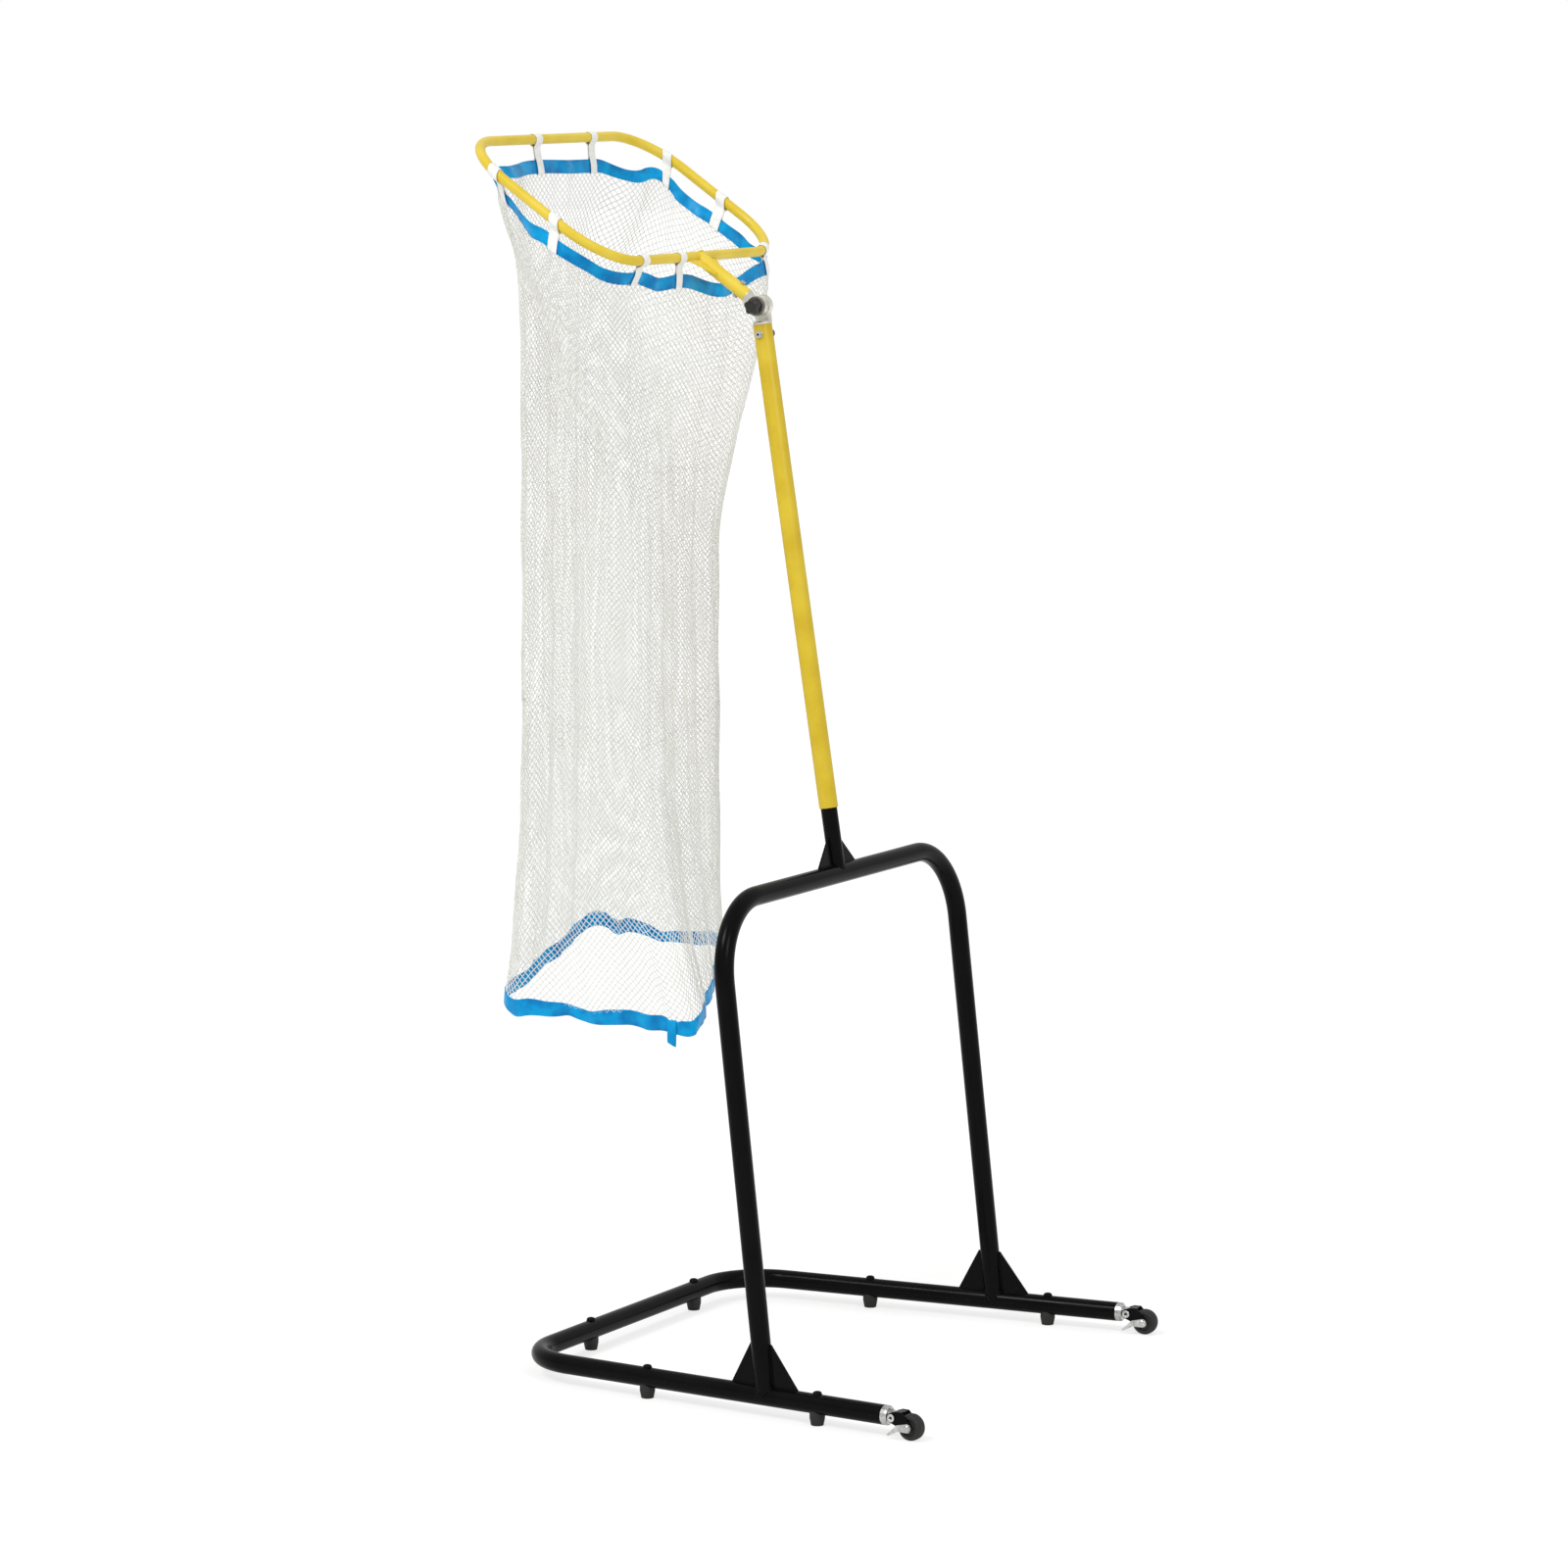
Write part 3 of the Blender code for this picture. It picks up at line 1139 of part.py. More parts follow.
def build_caster(side, stand, wheel_axis, lever_axis):
    """The plug in a tube's end, the yoke pinned to it, the wheel, its axle and the brake lever."""
    frame = CasterFrame(side)
    cheek = WHEEL_WIDTH / 2 + YOKE_SIDE_GAP
    outer = cheek + YOKE_THICKNESS
    drop = WHEEL_RADIUS - FLOOR_TO_TUBE

    plug_radius = (TUBE_R - TUBE_WALL) * math.cos(math.pi / TUBE_SIDES) - SLIP
    bm = bmesh.new()
    profile = [(0, -PLUG_DEPTH), (plug_radius, -PLUG_DEPTH), (plug_radius, GAP), (TUBE_R, GAP)]
    profile += [(TUBE_R, PLUG_FLANGE_LENGTH * 0.7), (TUBE_R * 0.85, PLUG_FLANGE_LENGTH)]
    profile += [(0, PLUG_FLANGE_LENGTH)]
    turned(bm, frame.end, frame.along, profile, TUBE_SIDES)
    plug = piece(f"end_plug_{frame.label}", bm, "zinc", stand)
    bm = bmesh.new()
    start = PLUG_FLANGE_LENGTH * 0.5
    outline = [(start, EAR_RADIUS), (start, -EAR_RADIUS)]
    outline += arc_points((YOKE_PIN_X, 0), EAR_RADIUS, -90, 90, 8)
    ear = cheek - GAP
    plate(bm, [frame.at(a, -ear, z) for a, z in outline], frame.across * (2 * ear))
    shape(plug, piece(f"join_ear_{frame.label}", bm, "zinc", stand), "UNION")
    shape(plug, frame.hole("pin", frame.pin, AXLE_RADIUS + BORE_GAP, stand))

    wheel_x, wheel_z = CASTER_X, drop
    outline = arc_points((YOKE_PIN_X, 0), YOKE_EYE_RADIUS, 240, 100, 6)
    outline += [(YOKE_WEB[0], YOKE_HUMP), (YOKE_WEB[1], YOKE_HUMP)]
    outline += arc_points((wheel_x, wheel_z), YOKE_END_RADIUS, 45, -115, 6)
    cheeks = []
    for place in (-outer, cheek):
        bm = bmesh.new()
        plate(bm, [frame.at(a, place, z) for a, z in outline], frame.across * YOKE_THICKNESS)
        cheeks.append(bm)
    yoke = piece(f"caster_yoke_{frame.label}", cheeks[0], "black_enamel", stand)
    shape(yoke, piece(f"join_cheek_{frame.label}", cheeks[1], "black_enamel", stand), "UNION")
    bm = bmesh.new()
    web_top = YOKE_HUMP - YOKE_WEB_INSET
    web_start, web_end = YOKE_WEB[0] + YOKE_WEB_INSET, YOKE_WEB[1] - YOKE_WEB_INSET
    outline = [(web_start, web_top), (web_end, web_top)]
    outline += [(web_end, web_top - YOKE_WEB_THICKNESS), (web_start, web_top - YOKE_WEB_THICKNESS)]
    web = outer - YOKE_THICKNESS / 2
    plate(bm, [frame.at(a, -web, z) for a, z in outline], frame.across * (2 * web))
    shape(yoke, piece(f"join_web_{frame.label}", bm, "black_enamel", stand), "UNION")
    shape(yoke, frame.hole("yoke_pin", frame.pin, AXLE_RADIUS + BORE_GAP, stand))
    shape(yoke, frame.hole("yoke_axle", frame.wheel, AXLE_RADIUS + BORE_GAP, stand))

    bm = bmesh.new()
    washer = outer + GAP + YOKE_WASHER_THICKNESS
    socket_end = -washer + SOCKET_DEPTH
    seat = outer + GAP
    profile = [(0, socket_end), (SOCKET_RADIUS, socket_end), (SOCKET_RADIUS, -washer)]
    profile += [(YOKE_WASHER_RADIUS, -washer), (YOKE_WASHER_RADIUS, -seat), (AXLE_RADIUS, -seat)]
    profile += [(AXLE_RADIUS, seat), (YOKE_WASHER_RADIUS, seat), (YOKE_WASHER_RADIUS, washer)]
    profile += [(0, washer)]
    turned(bm, frame.pin, frame.across, profile, 12)
    piece(f"yoke_bolt_{frame.label}", bm, "zinc", stand)

    half = WHEEL_WIDTH / 2
    bore = AXLE_RADIUS + BORE_GAP
    bm = bmesh.new()
    profile = [(bore, -half), (WHEEL_RADIUS * 0.75, -half), (WHEEL_RADIUS * 0.95, -half * 0.8)]
    profile += [(WHEEL_RADIUS, -half * 0.45)]
    profile += [(radius, -place) for radius, place in reversed(profile)]
    turned(bm, frame.wheel, frame.across, profile, WHEEL_SIDES, closed=True)
    piece(f"caster_wheel_{frame.label}", bm, "black_rubber", wheel_axis)

    lever_face = outer + GAP
    head = lever_face + LEVER_THICKNESS + GAP
    bm = bmesh.new()
    tip = head + AXLE_HEAD_HEIGHT
    profile = [(0, -tip), (AXLE_HEAD_RADIUS * 0.7, -tip), (AXLE_HEAD_RADIUS, -tip + 0.0015)]
    profile += [(AXLE_HEAD_RADIUS, -head)]
    profile += [(AXLE_RADIUS, -head), (AXLE_RADIUS, lever_face), (AXLE_HEAD_RADIUS, lever_face)]
    profile += [(AXLE_HEAD_RADIUS, tip), (0, tip)]
    turned(bm, frame.wheel, frame.across, profile, 12)
    piece(f"axle_bolt_{frame.label}", bm, "zinc", stand)

    bm = bmesh.new()
    tip_x, tip_z = wheel_x + LEVER_TIP[0], wheel_z + LEVER_TIP[1]
    outline = arc_points((wheel_x, wheel_z), LEVER_EYE_RADIUS, 120, -90, 8)
    outline += [(wheel_x + LEVER_TIP[0] * 0.45, wheel_z - LEVER_EYE_RADIUS)]
    outline += [(tip_x + 0.004, tip_z - 0.002), (tip_x, tip_z)]
    outline += [(wheel_x + LEVER_TIP[0] * 0.5, wheel_z + LEVER_EYE_RADIUS * 0.4)]
    corners = [frame.at(a, -lever_face - LEVER_THICKNESS, z) for a, z in outline]
    plate(bm, corners, frame.across * LEVER_THICKNESS)
    lever = piece(f"brake_lever_{frame.label}", bm, "zinc", lever_axis, round_piece=False)
    shape(lever, frame.hole("lever", frame.wheel, bore, lever_axis))


def shown_bounds():
    """Lowest and highest corner of everything that isn't a tool."""
    bpy.context.view_layer.update()
    graph = bpy.context.evaluated_depsgraph_get()
    low = Vector((1e9, 1e9, 1e9))
    high = -low
    for item in bpy.context.scene.objects:
        if item.type != "MESH" or item.hide_render:
            continue
        seen = item.evaluated_get(graph)
        for vertex in seen.data.vertices:
            place = item.matrix_world @ vertex.co
            low = Vector(map(min, low, place))
            high = Vector(map(max, high, place))
    return low, high


def main():
    """Builds every piece and moves the model's origin to the bottom centre of its box."""
    clear_scene()
    stand = Axis("stand_origin", (0, 0, 0))
    mast = Axis("mast_axis", TOP_BAR + MAST_DIRECTION * STUB_END, stand)
    tilt = Axis("tilt_axis", PIVOT, mast)
    hang = Axis("net_axis", HOOP_CENTRE, tilt)
    knob = Axis("star_knob_axis", PIVOT + Y_AXIS * KNOB_FACE, mast)
    clamp = Axis("clamp_knob_axis", CLAMP_CENTRE, mast)
    build_base(stand)
    build_legs(stand)
    build_stub(stand)
    build_pole(mast)
    build_clamp_knob(clamp)
    build_joint_base(mast)
    build_star_knob(knob)
    build_hoop_stub(tilt)
    build_hoop(tilt)
    build_straps(tilt)
    build_top_hem(tilt)
    build_net(tilt, hang)
    for side in (-1, 1):
        place = CasterFrame(side)
        wheel = Axis(f"wheel_axis_{place.label}", place.wheel, stand)
        lever = Axis(f"lever_axis_{place.label}", place.wheel, stand)
        build_caster(side, stand, wheel, lever)
    low, high = shown_bounds()
    stand.empty.location = Vector((-(low.x + high.x) / 2, -(low.y + high.y) / 2, -low.z))
    bpy.context.view_layer.update()
    for axis in (mast, tilt, hang, knob, clamp):
        print(axis.empty.name, [round(value, 6) for value in axis.empty.matrix_world.translation])


main()
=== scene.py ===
"""A volleyball practice net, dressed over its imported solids.

Each class builds one sub-assembly from its own sizes, in metres, and dresses it with its finishes.
"""

import logging
import math
from dataclasses import dataclass
from enum import Enum

import bpy
import numpy as np
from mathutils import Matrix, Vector


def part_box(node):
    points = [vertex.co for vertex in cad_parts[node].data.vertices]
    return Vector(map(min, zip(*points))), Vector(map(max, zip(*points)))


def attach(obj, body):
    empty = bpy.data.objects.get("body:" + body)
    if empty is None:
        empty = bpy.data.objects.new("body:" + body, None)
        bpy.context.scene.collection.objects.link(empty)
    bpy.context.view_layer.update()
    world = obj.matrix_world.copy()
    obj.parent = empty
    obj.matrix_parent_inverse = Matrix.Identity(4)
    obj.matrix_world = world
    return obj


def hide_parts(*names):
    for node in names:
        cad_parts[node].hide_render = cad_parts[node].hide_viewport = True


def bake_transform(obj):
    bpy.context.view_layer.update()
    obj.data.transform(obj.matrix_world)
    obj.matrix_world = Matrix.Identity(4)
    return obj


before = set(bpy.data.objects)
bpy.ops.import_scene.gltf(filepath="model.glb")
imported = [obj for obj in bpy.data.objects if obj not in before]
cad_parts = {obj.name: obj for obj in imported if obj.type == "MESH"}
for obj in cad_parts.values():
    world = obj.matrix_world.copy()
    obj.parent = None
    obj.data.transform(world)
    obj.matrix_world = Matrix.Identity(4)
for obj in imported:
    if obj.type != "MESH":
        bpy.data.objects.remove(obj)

LOG = logging.getLogger("practice_net")
MM = 0.001
UP = np.array((0.0, 0.0, 1.0))
ACROSS = np.array((0.0, 1.0, 0.0))
METRES_MAP = "Metres"
WHITE = (1.0, 1.0, 1.0, 1.0)
SEED = 20
# The gap that a seat or weld leaves between two solids, and the room under a coped tube end.
SEAT = 0.3 * MM
COPE_ROOM = 0.1 * MM
# A weld bead's points, its ripples, how far they swell it, and a direction that no bead runs in.
BEAD_STEP = 1.1 * MM
BEAD_RIPPLE = 3.3 * MM
BEAD_SWELL = 0.13
BEAD_WAVER = 0.06
NO_BEADS_WAY = np.array((0.31, 0.52, 0.79))


def unit(vectors: np.ndarray) -> np.ndarray:
    """Vectors scaled to length 1.

    Args:
        vectors: One vector, or any array of them in its last axis.

    Returns:
        An array of the same shape.
    """
    return vectors / np.linalg.norm(vectors, axis=-1, keepdims=True)


def smooth_step(part: np.ndarray) -> np.ndarray:
    """An ease from 0 to 1 that is level at both ends."""
    held = np.clip(part, 0.0, 1.0)
    return held * held * (3.0 - 2.0 * held)


def turns(count: int) -> np.ndarray:
    """Angles in even steps round a circle."""
    return 2 * math.pi * np.arange(count) / count


def circle(count: int) -> tuple[np.ndarray, np.ndarray]:
    """The cosines and sines of even steps round a circle."""
    return np.cos(turns(count)), np.sin(turns(count))


def distances(line: np.ndarray) -> np.ndarray:
    """Distances along a line of points, from 0."""
    return np.concatenate([[0], np.cumsum(np.linalg.norm(np.diff(line, axis=0), axis=1))])


def points_at(line: np.ndarray, lengths: np.ndarray, places: np.ndarray) -> np.ndarray:
    """Points of a line at places along it, where lengths are its own points' distances."""
    return np.stack([np.interp(places, lengths, values) for values in line.T], axis=-1)


def waves(turn: np.ndarray, rows: tuple[tuple[float, int, float], ...]) -> np.ndarray:
    """Sine waves round a closed line, each a height in millimetres, a count and a phase."""
    return sum(height * MM * np.sin(count * turn + phase) for height, count, phase in rows)


def around(points: np.ndarray, axis: int = 0) -> np.ndarray:
    """From each point's neighbour to its other one, in closed lines that run along an axis."""
    return np.roll(points, -1, axis=axis) - np.roll(points, 1, axis=axis)


def level_side(ways: np.ndarray) -> np.ndarray:
    """Level directions to the left of others, which is inwards where a closed line runs that way."""
    return unit(np.stack([-ways[..., 1], ways[..., 0], np.zeros(ways.shape[:-1])], axis=-1))


def to_linear(code: str) -> tuple[float, float, float, float]:
    """A colour for a shader.

    Args:
        code: The colour as an sRGB hex value, such as "#E8CF5A".

    Returns:
        Linear red, green, blue and an alpha of 1.
    """
    values = [int(code[k:k + 2], 16) / 255 for k in (1, 3, 5)]
    linear = [v / 12.92 if v <= 0.04045 else ((v + 0.055) / 1.055) ** 2.4 for v in values]
    return linear[0], linear[1], linear[2], 1.0


def add_node(tree: bpy.types.NodeTree, kind: str, settings: dict | None = None,
             links: dict | None = None) -> bpy.types.Node:
    """Adds one node with its settings and its links.

    Args:
        tree: The node tree that takes it.
        kind: The node's type name.
        settings: Values by name. A name that the node has as a property is set there, and any
            other names an input, or gives its number.
        links: Output sockets by the input that each one feeds.

    Returns:
        The new node.
    """
    node = tree.nodes.new(kind)
    for name, value in (settings or {}).items():
        if isinstance(name, str) and hasattr(node, name):
            setattr(node, name, value)
        else:
            node.inputs[name].default_value = value
    for name, socket in (links or {}).items():
        tree.links.new(socket, node.inputs[name])
    return node


class Relief(Enum):
    """How a surface was made, which decides its fine relief."""

    SPRAYED = "sprayed"
    CAST = "cast"
    PLATED = "plated"
    MOULDED = "moulded"
    WEBBING = "webbing"
    COATED = "coated"
    TWINE = "twine"


@dataclass(frozen=True)
class Finish:
    """One finish: what the surface is and how it was made.

    The colour drifts between two tones in patches of patch_mm, the roughness by roughness_drift,
    and the relief is relief_mm deep in grains of grain_mm.
    """

    name: str
    slot: str
    colour: str
    second: str
    roughness: float
    relief: Relief
    roughness_drift: float = 0.05
    metallic: float = 0.0
    specular: float = 0.5
    sheen: float = 0.0
    patch_mm: float = 60.0
    grain_mm: float = 1.5
    relief_mm: float = 0.02
    wear: str = ""
    wear_share: float = 0.0
    speck_mm: float = 9.0

    def build(self) -> bpy.types.Material:
        """Makes the material, or finds it where it was made before.

        Returns:
            The material.
        """
        made = bpy.data.materials.get(self.name)
        if made:
            return made
        made = bpy.data.materials.new(self.name)
        made.use_nodes = True
        tree = made.node_tree
        shader = tree.nodes["Principled BSDF"]
        shader.inputs["Metallic"].default_value = self.metallic
        shader.inputs["Specular IOR Level"].default_value = self.specular
        shader.inputs["Sheen Weight"].default_value = self.sheen
        place = add_node(tree, "ShaderNodeTexCoord").outputs["Object"]
        patches = add_node(tree, "ShaderNodeTexNoise", {"Scale": 1000 / self.patch_mm, "Detail": 4.0},
                           {"Vector": place}).outputs["Fac"]
        tone = add_node(tree, "ShaderNodeMapRange", {"From Min": 0.35, "From Max": 0.65},
                        {"Value": patches}).outputs[0]
        tones = {"data_type": "RGBA", 6: to_linear(self.colour), 7: to_linear(self.second)}
        colour = add_node(tree, "ShaderNodeMix", tones, {0: tone}).outputs[2]
        if self.wear:
            colour = self.worn(tree, place, colour)
        tree.links.new(colour, shader.inputs["Base Color"])
        rough = add_node(tree, "ShaderNodeMapRange", {"From Min": 0.3, "From Max": 0.7,
                                                      "To Min": self.roughness - self.roughness_drift,
                                                      "To Max": self.roughness + self.roughness_drift},
                         {"Value": patches}).outputs[0]
        tree.links.new(rough, shader.inputs["Roughness"])
        height = self.height(tree, place)
        bump = add_node(tree, "ShaderNodeBump", {"Strength": 1.0, "Distance": self.relief_mm * MM},
                        {"Height": height})
        tree.links.new(bump.outputs["Normal"], shader.inputs["Normal"])
        return made

    def worn(self, tree: bpy.types.NodeTree, place: bpy.types.NodeSocket,
             colour: bpy.types.NodeSocket) -> bpy.types.NodeSocket:
        """Lays small rubbed specks of the wear colour over the finish.

        Args:
            tree: The material's tree.
            place: Object coordinates.
            colour: The colour under the specks.

        Returns:
            The colour with the specks.
        """
        specks = add_node(tree, "ShaderNodeTexNoise",
                          {"Scale": 1000 / self.speck_mm, "Detail": 6.0, "Roughness": 0.7},
                          {"Vector": place}).outputs["Fac"]
        edge = 0.78 - 0.35 * self.wear_share
        mask = add_node(tree, "ShaderNodeMapRange", {"From Min": edge, "From Max": edge + 0.03},
                        {"Value": specks}).outputs[0]
        return add_node(tree, "ShaderNodeMix", {"data_type": "RGBA", 7: to_linear(self.wear)},
                        {0: mask, 6: colour}).outputs[2]

    def height(self, tree: bpy.types.NodeTree, place: bpy.types.NodeSocket) -> bpy.types.NodeSocket:
        """The relief's height from 0 to 1, from a pattern that suits how the surface was made.

        Args:
            tree: The material's tree.
            place: Object coordinates.

        Returns:
            The height's socket.
        """
        scale = 1000 / self.grain_mm
        if self.relief in (Relief.WEBBING, Relief.COATED):
            laid = add_node(tree, "ShaderNodeUVMap", {"uv_map": METRES_MAP}).outputs["UV"]
            # A wave texture has one band in 0.314 of its scaled length.
            ribs = [
                add_node(tree, "ShaderNodeTexWave",
                         {"bands_direction": way, "Scale": 0.314 * scale, "Distortion": 0.0},
                         {"Vector": laid}).outputs["Fac"]
                for way in ("X", "Y")
            ]
            weave = add_node(tree, "ShaderNodeMath", {"operation": "MULTIPLY"}, {0: ribs[0], 1: ribs[1]})
            return weave.outputs[0]
        if self.relief is Relief.CAST:
            cells = add_node(tree, "ShaderNodeTexVoronoi", {"Scale": scale}, {"Vector": place})
            return cells.outputs["Distance"]
        detail = 2.0 if self.relief is Relief.SPRAYED else 5.0
        grain = add_node(tree, "ShaderNodeTexNoise", {"Scale": scale, "Detail": detail}, {"Vector": place})
        return grain.outputs["Fac"]


# Black powder paint on steel: near black, with a soft sheen and fine orange peel.
BLACK_PAINT = Finish("black_powder_paint", "black_enamel", "#060607", "#0A0A0A", 0.20, Relief.SPRAYED,
                     specular=0.07, patch_mm=80, grain_mm=2.2, relief_mm=0.03, wear="#232424",
                     wear_share=0.1)
# Yellow powder paint: warm and slightly chalky where hands and balls rub it.
YELLOW_PAINT = Finish("yellow_powder_paint", "yellow_enamel", "#C9AB1A", "#D5B92A", 0.36, Relief.SPRAYED,
                      specular=0.35, patch_mm=70, grain_mm=2.0, relief_mm=0.03, wear="#A8923A",
                      wear_share=0.1)
# Yellow powder paint on the hoop: the pole's yellow painted lighter, as painted light for the brighter light
# on the hoop, and without wear specks since nothing rubs it.
HOOP_PAINT_LIT = Finish("yellow_powder_paint_hoop_painted_light", "yellow_enamel", "#DCBF2E", "#E6CB42", 0.34, Relief.SPRAYED,
                    specular=0.35, patch_mm=70, grain_mm=2.0, relief_mm=0.03)
# Zinc plate on steel: bright grey with a faint mottle.
ZINC_PLATE = Finish("zinc_plated_steel", "zinc", "#D6D7D5", "#B4B5B1", 0.28, Relief.PLATED,
                    metallic=1.0, patch_mm=12, grain_mm=0.8, relief_mm=0.01, roughness_drift=0.08)
# Tumbled aluminium casting: dull grey with a fine pebble.
CAST_ALUMINIUM = Finish("tumbled_aluminium_casting", "cast_alloy", "#E9E7DE", "#D2D0C6", 0.48, Relief.CAST,
                        metallic=1.0, patch_mm=18, grain_mm=1.2, relief_mm=0.05, roughness_drift=0.08)
# Dark coated casting: the clamping disc, a dull middle grey.
DARK_CASTING = Finish("dark_coated_casting", "dark_alloy", "#87817A", "#6B665F", 0.5, Relief.CAST,
                      metallic=1.0, patch_mm=15, grain_mm=1.0, relief_mm=0.04)
# Moulded nylon: black with a fine mould grain.
BLACK_NYLON = Finish("moulded_black_nylon", "black_plastic", "#171614", "#1F1E1B", 0.42, Relief.MOULDED,
                     patch_mm=20, grain_mm=0.6, relief_mm=0.02)
# Moulded rubber: black, dull and a little dusty.
BLACK_RUBBER = Finish("moulded_black_rubber", "black_rubber", "#141414", "#1E1D1C", 0.68, Relief.MOULDED,
                      patch_mm=25, grain_mm=0.9, relief_mm=0.03)
# Woven polypropylene webbing: white with ribs, 2 mm apart.
WHITE_WEBBING = Finish("woven_white_webbing", "white_webbing", "#F7F7F5", "#ECECE9", 0.62, Relief.WEBBING,
                       sheen=0.2, patch_mm=14, grain_mm=2.0, relief_mm=0.25)
# Vinyl-coated polyester: bright blue with a soft gloss over a 1.2 mm weave.
BLUE_HEM = Finish("coated_blue_polyester", "blue_hem", "#009EDA", "#0076B6", 0.30, Relief.COATED,
                  specular=0.14, patch_mm=40, grain_mm=1.2, relief_mm=0.06)
# Knotless polyester twine: off-white and matt.
WHITE_TWINE = Finish("knotless_white_twine", "white_net", "#F0F0EB", "#E8E8E1", 0.8, Relief.TWINE,
                     sheen=0.3, patch_mm=90, grain_mm=1.6, relief_mm=0.2)


class Shell:
    """Collects patches of faces for one mesh."""

    def __init__(self) -> None:
        """Starts with no faces."""
        self.points: list[np.ndarray] = []
        self.faces: list[list[int]] = []
        self.laid: list[np.ndarray] = []
        self.count = 0

    def grid(self, points: np.ndarray, wrap_a: bool = False, wrap_b: bool = False) -> int:
        """Adds a grid of four-sided faces.

        Args:
            points: Points by row and column. A face looks to the side from which rows run down
                and columns run to the right.
            wrap_a: Joins the last row to the first.
            wrap_b: Joins the last column to the first.

        Returns:
            The index of the grid's first point.
        """
        rows, columns = points.shape[:2]
        first = self.count
        index = first + np.arange(rows * columns).reshape(rows, columns)
        a = np.arange(rows if wrap_a else rows - 1)
        b = np.arange(columns if wrap_b else columns - 1)
        aa, bb = np.meshgrid(a, b, indexing="ij")
        a2, b2 = (aa + 1) % rows, (bb + 1) % columns
        quads = np.stack([index[aa, bb], index[a2, bb], index[a2, b2], index[aa, b2]], axis=-1)
        self.faces.extend(quads.reshape(-1, 4).tolist())
        u = self.lengths(points[:, 0])
        v = self.lengths(points[0])
        places = ((aa, bb), (aa + 1, bb), (aa + 1, bb + 1), (aa, bb + 1))
        corners = np.stack([np.stack([u[x], v[y]], axis=-1) for x, y in places], axis=-2)
        self.laid.append(corners.reshape(-1, 2))
        self.points.append(points.reshape(-1, 3))
        self.count += rows * columns
        return first

    @staticmethod
    def lengths(line: np.ndarray) -> np.ndarray:
        """Distances along a line of points, with one more for the way back to its start."""
        steps = np.linalg.norm(np.roll(line, -1, axis=0) - line, axis=1)
        return np.concatenate([[0.0], np.cumsum(steps)])

    def cap(self, indices: range | list[int]) -> None:
        """Closes a hole with one face over points that are there already."""
        self.faces.append(list(indices))
        self.laid.append(np.zeros((len(indices), 2)))

    def rod(self, rings: np.ndarray, turned: bool = True) -> None:
        """Adds rings of points and closes both ends.

        Args:
            rings: Points by ring and place in the ring.
            turned: Runs each ring the other way, for rings that would look inwards.
        """
        rings = rings[:, ::-1] if turned else rings
        count = rings.shape[1]
        first = self.grid(rings, wrap_b=True)
        start, end = range(first, first + count), range(self.count - 1, self.count - count - 1, -1)
        for indices in (start, end):
            self.cap(indices if turned else indices[::-1])

    def mesh(self, name: str) -> bpy.types.Mesh:
        """Makes the Blender mesh.

        Args:
            name: The mesh's name.

        Returns:
            The mesh, with a map whose unit is a metre.
        """
        made = bpy.data.meshes.new(name)
        made.from_pydata(np.concatenate(self.points).tolist(), [], self.faces)
        layer = made.uv_layers.new(name=METRES_MAP)
        layer.data.foreach_set("uv", np.concatenate(self.laid).astype(np.float32).ravel())
        return made


def place_piece(name: str, shell: Shell, body: str | None, finish: Finish,
                replaced: tuple[str, ...] = (), sharp: float = 35.0) -> bpy.types.Object:
    """Turns a shell into a piece that rides on a body.

    Args:
        name: The piece's name.
        shell: Its faces.
        body: The body that carries it, or none for a piece that hangs between two.
        finish: Its finish.
        replaced: The solids that it stands for.
        sharp: The angle in degrees above which an edge stays sharp.

    Returns:
        The new object.
    """
    mesh = shell.mesh(name)
    mesh.materials.append(finish.build())
    mesh.shade_smooth()
    mesh.set_sharp_from_angle(angle=math.radians(sharp))
    made = bpy.data.objects.new(name, mesh)
    bpy.context.scene.collection.objects.link(made)
    if body:
        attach(made, body)
    if replaced:
        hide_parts(*replaced)
    LOG.info("%s rides on %s with %d faces", name, body, len(mesh.polygons))
    return made


def dress_node(node: str, finish: Finish, bevel_mm: float = 0.0) -> None:
    """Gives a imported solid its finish, and rounds its edges.

    Args:
        node: The solid's name.
        finish: Its finish.
        bevel_mm: The width of the rounding, or 0 to leave the edges.
    """
    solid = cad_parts[node]
    solid.data.materials.clear()
    solid.data.materials.append(finish.build())
    if bevel_mm:
        rounding = solid.modifiers.new("edge_rounding", "BEVEL")
        rounding.width = bevel_mm * MM
        rounding.segments = 2
        rounding.limit_method = "ANGLE"
        rounding.angle_limit = math.radians(40)
        rounding.harden_normals = True
    LOG.info("%s is dressed with %s", node, finish.name)


def rounded_line(corners: list[np.ndarray], bend: float, steps: int,
                 closed: bool = False) -> tuple[np.ndarray, np.ndarray]:
    """A centre line through corners, each rounded to the bend radius.

    Args:
        corners: The corners in order.
        bend: The bend radius.
        steps: Points in each bend, less one.
        closed: Joins the last corner to the first.

    Returns:
        Points and directions.
    """
    points, ways = [], []
    count = len(corners)
    for i, corner in enumerate(corners):
        if not closed and i in (0, count - 1):
            way = unit(corners[1] - corner) if i == 0 else unit(corner - corners[-2])
            points.append(corner)
            ways.append(way)
            continue
        came = unit(corner - corners[i - 1])
        goes = unit(corners[(i + 1) % count] - corner)
        turn = math.acos(float(np.clip(came @ goes, -1, 1)))
        start = corner - came * bend * math.tan(turn / 2)
        inward = unit(goes - came * (came @ goes))
        for k in range(steps + 1):
            angle = turn * k / steps
            aside = inward * bend * (1 - math.cos(angle))
            points.append(start + came * bend * math.sin(angle) + aside)
            ways.append(came * math.cos(angle) + inward * math.sin(angle))
    return np.array(points), np.array(ways)


